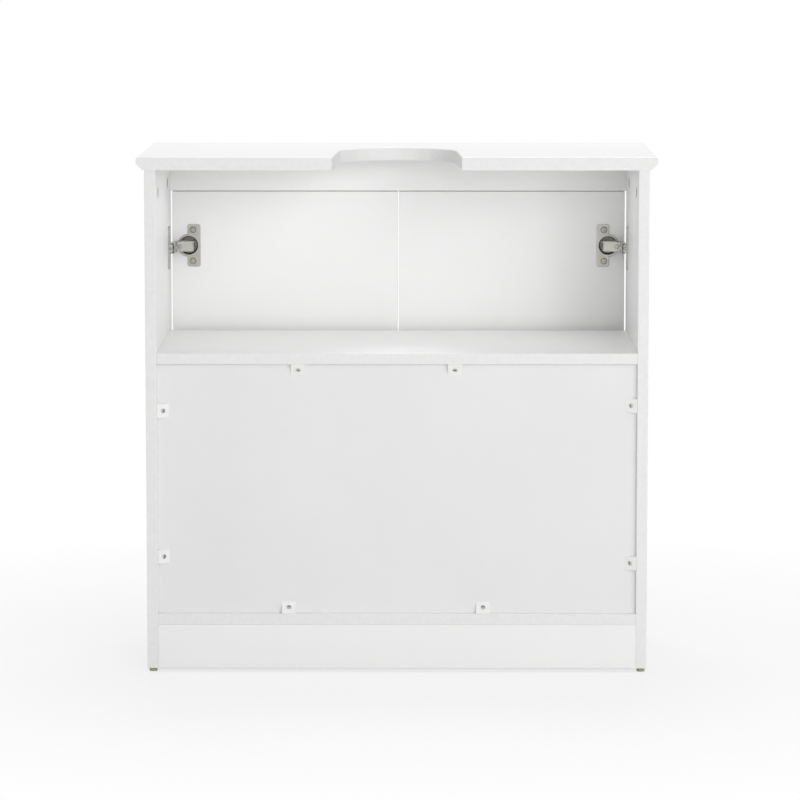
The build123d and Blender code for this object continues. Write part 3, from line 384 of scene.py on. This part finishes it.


# Painted shade: the doors and plinth rails carry the same white lacquer as the other boards, given these darker tones
# in place of the shade that falls on them.
DOOR_SHADED_TONES = (0.868, 0.892)
PAINT_UPRIGHT = white_lacquer("white_lacquer_upright", "X", ALONG_Z)
PAINT_LEVEL = white_lacquer("white_lacquer_level", "Z", ALONG_X)
PAINT_FACING = white_lacquer("white_lacquer_facing", "Y", ALONG_X)
PAINT_DOOR_SHADED = white_lacquer("white_lacquer_door_shaded", "Y", ALONG_Z, *DOOR_SHADED_TONES)
PAINT_PLINTH_SHADED = white_lacquer("white_lacquer_plinth_shaded", "Y", ALONG_X, *DOOR_SHADED_TONES)
HARDBOARD = hardboard()
CLIP_PLASTIC = moulded_plastic("clip_plastic", (0.86, 0.86, 0.85), (0.90, 0.90, 0.89), 0.34, 0.15)
GLIDE_PLASTIC = moulded_plastic("glide_plastic", (0.34, 0.35, 0.26), (0.41, 0.42, 0.32), 0.5)
NICKEL = plated(
    "bright_nickel", (0.48, 0.475, 0.435), (0.60, 0.595, 0.550), (0.20, 0.19, 0.17), 0.36, 0.06, brush=(1, 1, 0.2)
)
NICKEL_CAST = plated("satin_nickel", (0.46, 0.45, 0.425), (0.56, 0.55, 0.52), (0.24, 0.23, 0.21), 0.30, 0.03)
# Cast zinc's dull grey, darkened further as painted shade so the sunk drums read dark in their bores.
ZINC_CAST_DARKENED = plated("cast_zinc", (0.24, 0.24, 0.25), (0.34, 0.34, 0.35), (0.16, 0.16, 0.16), 0.48, 0.25)
ZINC_PLATE = plated("zinc_plate", (0.54, 0.54, 0.54), (0.66, 0.66, 0.65), (0.22, 0.22, 0.21), 0.30, 0.10)
BEECH = beech()

BOARD_FINISHES = {
    "left_side_panel": PAINT_UPRIGHT,
    "right_side_panel": PAINT_UPRIGHT,
    "middle_shelf": PAINT_LEVEL,
    "bottom_board": PAINT_LEVEL,
    "front_plinth_rail": PAINT_PLINTH_SHADED,
    "rear_plinth_rail": PAINT_PLINTH_SHADED,
    "left_door": PAINT_DOOR_SHADED,
    "right_door": PAINT_DOOR_SHADED,
    "top_board": PAINT_LEVEL,
    "front_top_rail": PAINT_FACING,
}
SLOT_FINISHES = {
    "white_panel": HARDBOARD,
    "white_plastic": CLIP_PLASTIC,
    "khaki_plastic": GLIDE_PLASTIC,
    "beech": BEECH,
    "cast_zinc": ZINC_CAST_DARKENED,
    "satin_nickel": NICKEL_CAST,
    "nickel_plate": NICKEL,
    "zinc_steel": ZINC_PLATE,
}
node_slots = {part["node"]: part["material_slot"] for part in frame["record"]["subparts"]}
for node, solid in frame["nodes"].items():
    finish = BOARD_FINISHES.get(node) or SLOT_FINISHES[node_slots[node]]
    for slot in solid.material_slots:
        slot.material = finish

# ------------------------------------------------------------------ boards with their edges broken
EASE = 0.35
MOULDED_BOARDS = ("top_board", "front_top_rail")  # their solids already have their edges
SEAM = 0.002  # a board's solid is merged within this


def eased_board(node):
    """A board's own solid, merged, and its outer edges sanded by a block of its size."""
    shape = bmesh.new()
    shape.from_mesh(frame["nodes"][node].data)
    bmesh.ops.scale(shape, vec=(1 / MM, 1 / MM, 1 / MM), verts=shape.verts)
    bmesh.ops.remove_doubles(shape, verts=shape.verts, dist=SEAM)
    low, high = node_corners(node)
    block = board(high - low, (low + high) / 2)
    eased(block, block.edges[:], EASE, 1)
    return joined(shape, block, "INTERSECT")


for node, paint in BOARD_FINISHES.items():
    if node not in MOULDED_BOARDS:
        body = node if node.endswith("_door") else "cabinet"
        fitted(f"{node}_eased", eased_board(node), paint, body, node)

# ------------------------------------------------------------------ hinges
# A hinge is drawn flat: X is away from the side panel's inner face, Y is to the rear of the door's inner face,
# Z is up from the hinge's middle.
CUP_X = 22.5
BOWL_R = 10.9
RIM_R = 14.0
CAN_R = 13.0
CUP_DEPTH = 10.0
FLANGE_X = 28.9
FLANGE_W, FLANGE_L = 16.0, 52.0
FLANGE_CORNER = 3.0
FLANGE_BORDER = 0.5  # upright part of its border
FLANGE_SLOPES = ((0.4, 0.16), (1.9, 0.10))  # from the border inward: width and rise
CUP_SCREW_X, CUP_SCREW_Z = 27.5, 19.0
CUP_SCREW_TOP = 1.5
NICK_X, NICK_Z = FLANGE_X - FLANGE_W / 2 - 0.1, 12.6  # pressed where the flange runs into the rim
NICK_R = 0.9
ARM_HALF = 6.5
ARM_WEB_X = 8.6
ARM_REAR_Y = 46.0
ARM_CRANK_Y = 11.0  # only edges to the rear of this are rolled
ARM_ROLL = 1.1
ARM_NECK = ((25.6, 11.9), (25.6, 6.6), (26.9, 2.5), (28.0, -4.4), (16.75, -6.5))
NECK_R = 1.5
ARM_INSIDE_HALF = 4.9
ARM_CHANNEL_HALF = 5.8  # straight part, where the cheeks are thinner
SIDE_SCREW = (12.8, 19.36, 0)
DEPTH_SCREW = (3.7, 45.7, 0)
ARM_SCREW = (10.0, 35.5, 0)
PLATE_SCREWS = ((2.4, 37.5, -16.0), (2.4, 37.5, 16.0))
CUP_SCREWS = ((CUP_SCREW_X, CUP_SCREW_TOP, -CUP_SCREW_Z), (CUP_SCREW_X, CUP_SCREW_TOP, CUP_SCREW_Z))
WAIST_X, WAIST_Y, WAIST_Z = 11.0, 9.0, 6.9  # where the bites that narrow the arm start
WAIST_R, WAIST_LONG = 2.0, 20.0
WAIST_WIDER = 1.25
SPOT_Y, SPOT_R, SPOT_LONG = 18.7, 3.75, 4.0  # flat turned into the arm round its side screw
TO_PANEL, TO_FRONT = (-1, 0, 0), (0, -1, 0)
FACING_REAR = Matrix.Rotation(math.radians(-90), 4, "X")  # a shape drawn upward turned to face the rear


def hinge_place(side, level):
    """From a hinge's flat drawing to its place in the cabinet, in millimetres."""
    away = -1 if side == "right" else 1
    return Matrix.Translation((-away * INNER_X, DOOR_BACK_Y, HINGE_Z[level])) @ Matrix.Diagonal((away, 1, 1, 1))


def capsule(start, end, radius, thickness):
    """A flat link with two round ends, drawn in X and Y."""
    shape = bmesh.new()
    for x, y in (start, end):
        bmesh.ops.create_circle(
            shape, cap_ends=False, segments=24, radius=radius, matrix=Matrix.Translation((x, y, 0))
        )
    hull = bmesh.ops.convex_hull(shape, input=shape.verts)
    inside = [item for item in hull["geom_interior"] + hull["geom_unused"] if isinstance(item, bmesh.types.BMVert)]
    bmesh.ops.delete(shape, geom=inside, context="VERTS")
    bmesh.ops.dissolve_limit(shape, angle_limit=0.01, verts=shape.verts, edges=shape.edges)
    bmesh.ops.delete(shape, geom=shape.faces[1:], context="FACES_ONLY")
    return pulled_up(shape, thickness)


def cup_flange():
    """The cup's flange: round corners, and a border that slopes down to the door."""
    flange = bmesh.new()
    bmesh.ops.create_grid(flange, x_segments=1, y_segments=1, size=0.5)
    bmesh.ops.scale(flange, vec=(FLANGE_W, FLANGE_L, 1), verts=flange.verts)
    eased(flange, flange.verts[:], FLANGE_CORNER, 6, "VERTICES")
    pulled_up(flange, FLANGE_BORDER)
    top = max(flange.faces, key=lambda face: face.calc_center_median().z)
    for width, rise in FLANGE_SLOPES:
        bmesh.ops.inset_region(flange, faces=[top], thickness=width, depth=rise, use_even_offset=True)
    return moved(flange, Matrix.Translation((FLANGE_X, 0, 0)))


def hinge_cup():
    """Pressed cup: a deep bowl with a rolled rim, its flange, and a dish round each screw."""
    at_cup = Matrix.Translation((CUP_X, 0, 0))
    rim = spun([
        (0, -CUP_DEPTH), (CAN_R - 0.8, -CUP_DEPTH), (CAN_R - 0.2, -CUP_DEPTH + 0.3), (CAN_R, -CUP_DEPTH + 0.9),
        (CAN_R, -0.02), (RIM_R - 0.25, -0.02), (RIM_R, 0.15), (RIM_R - 0.05, 0.4), (RIM_R - 0.35, 0.62),
        (RIM_R - 0.8, 0.7), (0, 0.7),
    ], 72)
    cup = joined(cup_flange(), moved(rim, at_cup))
    bowl = spun([
        (0, -CUP_DEPTH + 0.8), (BOWL_R - 1.6, -CUP_DEPTH + 0.8), (BOWL_R - 0.6, -CUP_DEPTH + 1.2),
        (BOWL_R, -CUP_DEPTH + 2.2), (BOWL_R, -0.1), (BOWL_R + 0.12, 0.25), (BOWL_R + 0.5, 0.72),
        (BOWL_R + 0.75, 1.2), (0, 1.2),
    ], 72)
    cup = cut(cup, moved(bowl, at_cup))
    for way in (-1, 1):
        dish = spun([(0, 0.05), (3.2, 0.05), (3.7, 0.35), (4.15, 0.9), (0, 0.9)], 40)
        cup = cut(cup, moved(dish, Matrix.Translation((CUP_SCREW_X, way * CUP_SCREW_Z, 0))))
        nick = peg(NICK_R, -0.5, 1.2, 20)
        cup = cut(cup, moved(nick, Matrix.Translation((NICK_X, way * NICK_Z, 0))))
    # drawn with its mouth up, it is turned to open to the rear
    return moved(cup, Matrix.Rotation(math.radians(90), 4, "X") @ Matrix.Diagonal((1, 1, -1, 1)))


def hinge_arm():
    """Pressed arm: a straight channel, a cranked plate with rolled borders, and two cheeks down into the cup."""
    arm = sheet_blank([
        (3.4, ARM_REAR_Y), (ARM_WEB_X, ARM_REAR_Y), (ARM_WEB_X, 21.6), (9.4, 19.8), (26.3, 14.8), (28.0, 14.2),
        (29.1, 13.1), (29.4, 11.6), (29.4, 4.2), (28.2, 4.2), (27.2, 10.4), (12.0, 10.4), (3.4, 22.0),
    ], 2 * ARM_HALF)
    to_side = Matrix.Translation((0, 0, -ARM_HALF))
    moved(arm, to_side)

    def on_border(edge):
        a, b = (corner.co for corner in edge.verts)
        level = abs(a.z - b.z) < 0.01 and abs(abs(a.z) - ARM_HALF) < 0.01
        return level and min(a.x, b.x) > ARM_WEB_X - 0.1 and min(a.y, b.y) > ARM_CRANK_Y

    eased(arm, [edge for edge in arm.edges if on_border(edge)], ARM_ROLL, 4)
    for way in (-1, 1):
        bite = peg(WAIST_R, 0, WAIST_LONG)
        bmesh.ops.scale(bite, vec=(WAIST_WIDER, 1.0, 1.0), verts=bite.verts)
        arm = cut(arm, moved(bite, Matrix.Translation((WAIST_X, WAIST_Y, way * WAIST_Z)) @ FACING_REAR))
    spot_face = peg(SPOT_R, 0, SPOT_LONG)
    arm = cut(arm, moved(spot_face, Matrix.Translation((SIDE_SCREW[0], SPOT_Y, 0)) @ FACING_REAR))
    for start, end in zip(ARM_NECK, ARM_NECK[1:]):
        arm = joined(arm, moved(capsule(start, end, NECK_R, 2 * ARM_HALF), to_side))
    inside = sheet_blank([
        (2.4, 47.0), (7.4, 47.0), (7.4, 21.0), (8.6, 18.6), (25.9, 13.4), (27.4, 12.8), (28.1, 11.8), (28.2, 10.4),
        (28.2, 3.9), (30.5, 3.9), (30.5, -9.0), (2.4, -9.0),
    ], 2 * ARM_INSIDE_HALF)
    arm = cut(arm, moved(inside, Matrix.Translation((0, 0, -ARM_INSIDE_HALF))))
    straight = sheet_blank([(2.4, 47.0), (7.8, 47.0), (7.8, 24.0), (2.4, 24.0)], 2 * ARM_CHANNEL_HALF)
    return cut(arm, moved(straight, Matrix.Translation((0, 0, -ARM_CHANNEL_HALF))))


# ------------------------------------------------------------------ screws, drawn head up with the top at zero
# With a head: its radius and height, then the shank's radius and the whole length. Without: radius and length.
CUP_SCREW_SIZE = (2.8, 1.4, 1.5, 10.0)
PLATE_SCREW_SIZE = (3.3, 1.8, 1.75, 11.4)
ARM_SCREW_SIZE = (2.7, 1.4, 1.75, 8.3)
CLIP_SCREW_SIZE = (2.6, 1.8, 1.5, 19.0)
KNOB_SCREW_SIZE = (4.25, 2.4, 2.0, 23.9)
SIDE_SCREW_SIZE = (3.0, 5.0)
DEPTH_SCREW_SIZE = (1.8, 6.0)
CROSS_ARM = 0.37  # width of a cross's arm, as a share of its span
CROSS_TAPER = 0.75
CROSS_OVER = 0.05  # how far the driver's tip starts above the head


def cross_tool(span, depth):
    """The driver's tip that leaves its cross in a screw head."""
    arms = []
    for turn in (0, 90):
        arm = board((span, span * CROSS_ARM, depth), (0, 0, -depth / 2 + CROSS_OVER), CROSS_TAPER)
        arms.append(moved(arm, Matrix.Rotation(math.radians(turn), 4, "Z")))
    return joined(*arms)


def screw_body(head, shank_r, length):
    """A head's outline carried on down its shank to its point."""
    under = head[-1][1]
    shank = [
        (shank_r, under), (shank_r, -length + shank_r * 1.6), (shank_r * 0.35, -length + 0.2), (0, -length),
    ]
    return spun(head + shank, 40)


def pan_screw(head_r, head_t, shank_r, length):
    """Pan-headed: a low dome."""
    head = [
        (0, 0), (head_r * 0.45, -0.02 * head_t), (head_r * 0.78, -0.1225 * head_t), (head_r * 0.95, -0.35 * head_t),
        (head_r, -0.62 * head_t), (head_r * 0.99, -head_t),
    ]
    return cut(screw_body(head, shank_r, length), cross_tool(head_r * 1.1, head_t * 0.6 + 0.2))


def flat_screw(head_r, head_t, shank_r, length):
    """Flat-headed, with a broken rim."""
    head = [(0, 0), (head_r - 0.55, 0), (head_r - 0.12, -0.18), (head_r, -0.5), (head_r * 0.97, -head_t)]
    return cut(screw_body(head, shank_r, length), cross_tool(head_r * 1.25, head_t * 0.8 + 0.5))


def short_screw(radius, length):
    """Without a head, its cross at the top."""
    stud = spun([
        (0, 0), (radius * 0.72, 0), (radius * 0.96, -0.25), (radius, -0.55), (radius, -length + 0.4),
        (radius - 0.4, -length), (0, -length),
    ], 40)
    return cut(stud, cross_tool(radius * 1.72, radius * 1.1))


def aimed(point, inward):
    """The place of a screw: its top at a point, its shank along a direction."""
    turn = (-Vector(inward)).to_track_quat("Z", "Y").to_matrix().to_4x4()
    return Matrix.Translation(point) @ turn


def hinge_screws(name, node, draw, size, spots, inward, finish, body="cabinet", sides=SIDES):
    """The same screws in each hinge, as one piece."""
    screws = [
        moved(draw(*size), hinge_place(side, level) @ aimed(spot, inward))
        for side in sides
        for level in LEVELS
        for spot in spots
    ]
    fitted(name, gathered(screws), finish, body, node)


for side in SIDES:
    door = f"{side}_door"
    for level in LEVELS:
        hinge = f"{side}_{level}"
        place = hinge_place(side, level)
        fitted(f"{hinge}_cup", moved(hinge_cup(), place), NICKEL, door, f"{hinge}_hinge_cup")
        fitted(f"{hinge}_arm", moved(hinge_arm(), place), NICKEL, "cabinet", f"{hinge}_hinge_arm")
    hinge_screws(
        f"{side}_cup_screws", f"{door}_hinge_screws",
        flat_screw, CUP_SCREW_SIZE, CUP_SCREWS, TO_FRONT, NICKEL, door, (side,)
    )
hinge_screws(
    "plate_screws", "mounting_plate_screws",
    flat_screw, PLATE_SCREW_SIZE, PLATE_SCREWS, TO_PANEL, ZINC_PLATE
)
hinge_screws(
    "arm_screws", "hinge_arm_screws",
    pan_screw, ARM_SCREW_SIZE, (ARM_SCREW,), TO_PANEL, ZINC_PLATE
)
hinge_screws(
    "side_adjusting_screws", "hinge_side_screws",
    short_screw, SIDE_SCREW_SIZE, (SIDE_SCREW,), TO_FRONT, NICKEL
)
hinge_screws(
    "depth_adjusting_screws", "hinge_depth_screws",
    short_screw, DEPTH_SCREW_SIZE, (DEPTH_SCREW,), TO_FRONT, ZINC_PLATE
)

# ------------------------------------------------------------------ back panel's clips: their screws
CLIP_SCREW_FOOT = 7.6  # from the board that the clip leans on
CLIP_SCREW_TOP = 3.52  # to the rear of the back panel
# where each clip leans on a board, and which way leads off that board
CLIP_CORNERS = (
    [((x, SHELF_UNDER_Z), (0, -1)) for x in (114.4, -67.0)]
    + [((x, BOTTOM_TOP_Z), (0, 1)) for x in (125.8, -100.2)]
    + [((INNER_X, z), (-1, 0)) for z in (306.0, 135.4)]
    + [((-INNER_X, z), (1, 0)) for z in (312.3, 128.0)]
)
clip_screws = []
for (x, z), (away_x, away_z) in CLIP_CORNERS:
    top = (x + away_x * CLIP_SCREW_FOOT, BACK_PANEL_Y + CLIP_SCREW_TOP, z + away_z * CLIP_SCREW_FOOT)
    clip_screws.append(moved(pan_screw(*CLIP_SCREW_SIZE), aimed(top, (-away_x, -1, -away_z))))
fitted("clip_screws", gathered(clip_screws), ZINC_PLATE, "cabinet", "back_panel_clip_screws")

# ------------------------------------------------------------------ cam locks
CAM_R = 7.4
CAM_DEEP = 9.4
CAM_SUNK = 0.75  # its face below its rim
CAM_CROSS = (9.5, 2.0)
CAM_MIDDLE = 7.5  # the bolt's axis below the drum's face
CAM_FLUSH = 0.1  # from a level drum's solid down to where its drawing has zero
CLAW_R = 3.7
TO_X = Matrix.Rotation(math.radians(90), 4, "Y")


def cam_lock():
    """Die-cast drum, drawn face up at zero: a thin rim round a sunk face, a deep driver cross and a claw toward X."""
    drum = spun([
        (0, -CAM_SUNK), (CAM_R - 1.7, -CAM_SUNK), (CAM_R - 1.3, -0.2), (CAM_R - 0.6, -0.2), (CAM_R, -0.7),
        (CAM_R, -CAM_DEEP + 0.3), (CAM_R - 0.3, -CAM_DEEP), (0, -CAM_DEEP),
    ], 56)
    drum = cut(drum, moved(cross_tool(*CAM_CROSS), Matrix.Translation((0, 0, -CAM_SUNK))))
    claw = peg(CLAW_R, -1.5, 12.0, 32)
    return cut(drum, moved(claw, Matrix.Translation((0, 0, -CAM_MIDDLE)) @ TO_X))


def set_in(point, face_way, claw_way):
    """The place of a cam lock: its face outward along one direction, its claw along another."""
    up, along = Vector(face_way), Vector(claw_way)
    turn = Matrix((along, up.cross(along), up)).transposed().to_4x4()
    return Matrix.Translation(point) @ turn


for node in ("top_cam_locks", "shelf_cam_locks", "bottom_board_cam_locks"):
    low, high = node_corners(node)
    drums = []
    for y in (low.y + CAM_R, high.y - CAM_R):
        for away in (-1, 1):
            if node == "top_cam_locks":
                place = set_in((away * INNER_X, y, (low.z + high.z) / 2), (-away, 0, 0), (0, 0, 1))
            else:
                place = set_in((away * (high.x - CAM_R), y, low.z - CAM_FLUSH), (0, 0, -1), (away, 0, 0))
            drums.append(moved(cam_lock(), place))
    fitted(f"{node}_drums", gathered(drums), ZINC_CAST_DARKENED, "cabinet", node)

# ------------------------------------------------------------------ glides under the side panels, with their nails
GLIDE_R = 4.75
low, high = node_corners("glides")
GLIDE_TOP = high.z
GLIDE_OUTLINE = [
    (1.1, GLIDE_TOP), (GLIDE_R - 0.2, GLIDE_TOP), (GLIDE_R, GLIDE_TOP - 0.2), (GLIDE_R, 3.1), (GLIDE_R - 0.25, 2.9),
    (GLIDE_R - 0.25, 2.5), (GLIDE_R, 2.3), (GLIDE_R, 0.6), (GLIDE_R - 0.15, 0.25), (GLIDE_R - 0.5, 0), (2.65, 0),
    (2.45, 0.2), (2.45, 2.6), (1.1, 2.6), (1.1, GLIDE_TOP),
]
NAIL_OUTLINE = [
    (0, 1.6), (1.6, 1.6), (2.1, 1.8), (2.25, 2.1), (2.2, 2.4), (1.0, 2.6), (1.0, 9.2), (0.3, 10.8), (0, 11.0),
]
glide_spots = [
    Matrix.Translation((x, y, 0))
    for x in (low.x + GLIDE_R, high.x - GLIDE_R)
    for y in (low.y + GLIDE_R, high.y - GLIDE_R)
]
feet = gathered([moved(spun(GLIDE_OUTLINE, 48), spot) for spot in glide_spots])
nails = gathered([moved(spun(NAIL_OUTLINE, 28), spot) for spot in glide_spots])
fitted("turned_glides", feet, GLIDE_PLASTIC, "cabinet", "glides")
fitted("driven_nails", nails, ZINC_PLATE, "cabinet", "glide_nails")

# ------------------------------------------------------------------ knobs and their screws
KNOB_OUTLINE = [
    (0, 0), (7.5, 0), (7.5, 0.9), (7.2, 1.6), (6.2, 3.2), (5.35, 5.2), (5.0, 7.2), (5.15, 9.4), (5.6, 11.6),
    (6.3, 12.9), (8.0, 13.3), (11.0, 13.6), (12.6, 14.2), (13.6, 15.2), (14.0, 16.4), (13.85, 17.8), (13.2, 19.4),
    (11.8, 21.0), (9.4, 22.4), (6.4, 23.3), (3.2, 23.85), (0, 24.0),
]
KNOB_SMOOTH = 50.0  # degrees: its soft bends are steeper than other pieces'
FACING_FRONT = Matrix.Rotation(math.radians(90), 4, "X")
for side in SIDES:
    door = f"{side}_door"
    low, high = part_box(f"{side}_knob")
    x, z = (low[0] + high[0]) / 2 / MM, (low[2] + high[2]) / 2 / MM
    knob = moved(spun(KNOB_OUTLINE, 72), Matrix.Translation((x, DOOR_FRONT_Y, z)) @ FACING_FRONT)
    fitted(f"{side}_turned_knob", knob, NICKEL_CAST, door, f"{side}_knob", KNOB_SMOOTH)
    head_top = (x, DOOR_BACK_Y + KNOB_SCREW_SIZE[1], z)
    fixing = moved(pan_screw(*KNOB_SCREW_SIZE), aimed(head_top, TO_FRONT))
    fitted(f"{side}_knob_fixing", fixing, ZINC_PLATE, door, f"{side}_knob_screw")

# ------------------------------------------------------------------ floor and room
FLOOR_HALF = 60.0  # metres
FLOOR_PAPER = (0.80, 0.80, 0.80, 1)
SHADOW_REACH = (0.35, 0.95)  # metres from the middle: full shadow, and none left
SHADOW_WHITE = 0.74  # share of plain white in the shadow's place
ROOM_LIGHT = 0.56  # the room on the cabinet; seen or mirrored, the room is plain white


def seen_by(tree, *rays):
    """1 where a surface is met by one of these kinds of ray."""
    path = tree.nodes.new("ShaderNodeLightPath")
    seen = path.outputs[rays[0]]
    for ray in rays[1:]:
        seen = reckoned(tree, "MAXIMUM", seen, path.outputs[ray])
    return seen


def paper_floor():
    """Pale paper floor: it takes the cabinet's shadow close by and fades to plain white further out."""
    finish = bpy.data.materials.new("paper_floor")
    finish.use_nodes = True
    tree = finish.node_tree
    tree.nodes.clear()
    out = tree.nodes.new("ShaderNodeOutputMaterial")
    paper = tree.nodes.new("ShaderNodeBsdfDiffuse")
    paper.inputs["Color"].default_value = FLOOR_PAPER
    white = tree.nodes.new("ShaderNodeEmission")
    white.inputs["Strength"].default_value = 1.0
    place = tree.nodes.new("ShaderNodeTexCoord")
    reach = tree.nodes.new("ShaderNodeVectorMath")
    reach.operation = "LENGTH"
    tree.links.new(place.outputs["Object"], reach.inputs[0])
    fade = spread(tree, reach.outputs["Value"], SHADOW_WHITE, 1.0, *SHADOW_REACH)
    share = reckoned(tree, "MULTIPLY", fade, seen_by(tree, "Is Camera Ray", "Is Glossy Ray"))
    mix = tree.nodes.new("ShaderNodeMixShader")
    tree.links.new(share, mix.inputs["Fac"])
    tree.links.new(paper.outputs["BSDF"], mix.inputs[1])
    tree.links.new(white.outputs["Emission"], mix.inputs[2])
    tree.links.new(mix.outputs["Shader"], out.inputs["Surface"])
    return finish


floor_shape = bmesh.new()
bmesh.ops.create_grid(floor_shape, x_segments=1, y_segments=1, size=FLOOR_HALF)
floor_mesh = bpy.data.meshes.new("floor")
floor_shape.to_mesh(floor_mesh)
floor_shape.free()
floor_mesh.materials.append(paper_floor())
floor = bpy.data.objects.new("floor", floor_mesh)
bpy.context.scene.collection.objects.link(floor)

world = bpy.data.worlds.new("studio")
bpy.context.scene.world = world
world.use_nodes = True
sky = world.node_tree
background = sky.nodes["Background"]
background.inputs["Color"].default_value = (1, 1, 1, 1)
clear_view = seen_by(sky, "Is Camera Ray", "Is Transmission Ray", "Is Glossy Ray")
sky.links.new(spread(sky, clear_view, ROOM_LIGHT, 1.0), background.inputs["Strength"])

# ------------------------------------------------------------------ lamps
LAMP_AWAY = 3.2  # metres from the cabinet's middle
LAMP_SIZE = 1.3
CABINET_MIDDLE = Vector((0, 0, 0.35))


def area_lamp(name, width, height, watts, mirrored):
    """A flat lamp that the camera doesn't see. One that isn't mirrored lights the paint but leaves no glare on it."""
    light = bpy.data.lights.new(name, "AREA")
    light.shape = "RECTANGLE"
    light.size, light.size_y = width, height
    light.energy = watts
    lamp = bpy.data.objects.new(name, light)
    lamp.visible_camera = False
    lamp.visible_glossy = mirrored
    bpy.context.scene.collection.objects.link(lamp)
    return lamp


def studio_lamp(name, turn, rise, watts, mirrored):
    """A soft lamp aimed at the cabinet: turn is degrees from straight behind it, rise is degrees up."""
    turn, rise = math.radians(turn), math.radians(rise)
    toward = Vector((-math.sin(turn) * math.cos(rise), math.cos(turn) * math.cos(rise), math.sin(rise)))
    lamp = area_lamp(name, LAMP_SIZE, LAMP_SIZE, watts, mirrored)
    lamp.location = CABINET_MIDDLE + toward * LAMP_AWAY
    lamp.rotation_mode = "QUATERNION"
    lamp.rotation_quaternion = (-toward).to_track_quat("-Z", "Y")


studio_lamp("low_lamp", 14, 8, 25.7, False)
studio_lamp("side_lamp", 30, 20, 13.1, False)
studio_lamp("far_lamp", 180, 60, 34.4, True)
# a card's worth of light in the open compartment, where a photographer would fill it
area_lamp("compartment_fill", 0.52, 0.18, 0.140, False).location = (0, 0.055, 0.578)

# ------------------------------------------------------------------ camera, where the photograph was taken from
TILT, YAW = 0.11916, 0.00586  # radians: downward, and toward the right side panel
lens = bpy.data.cameras.new("camera")
lens.sensor_width = 36.0
lens.lens = 181.91
lens.clip_end = 200.0
camera = bpy.data.objects.new("camera", lens)
bpy.context.scene.collection.objects.link(camera)
camera.location = (-0.0308, 4.796, 0.875)
ahead = Vector((math.sin(YAW) * math.cos(TILT), -math.cos(YAW) * math.cos(TILT), -math.sin(TILT)))
camera.rotation_mode = "QUATERNION"
camera.rotation_quaternion = ahead.to_track_quat("-Z", "Y")
bpy.context.scene.camera = camera
bpy.context.scene.view_settings.view_transform = "Standard"
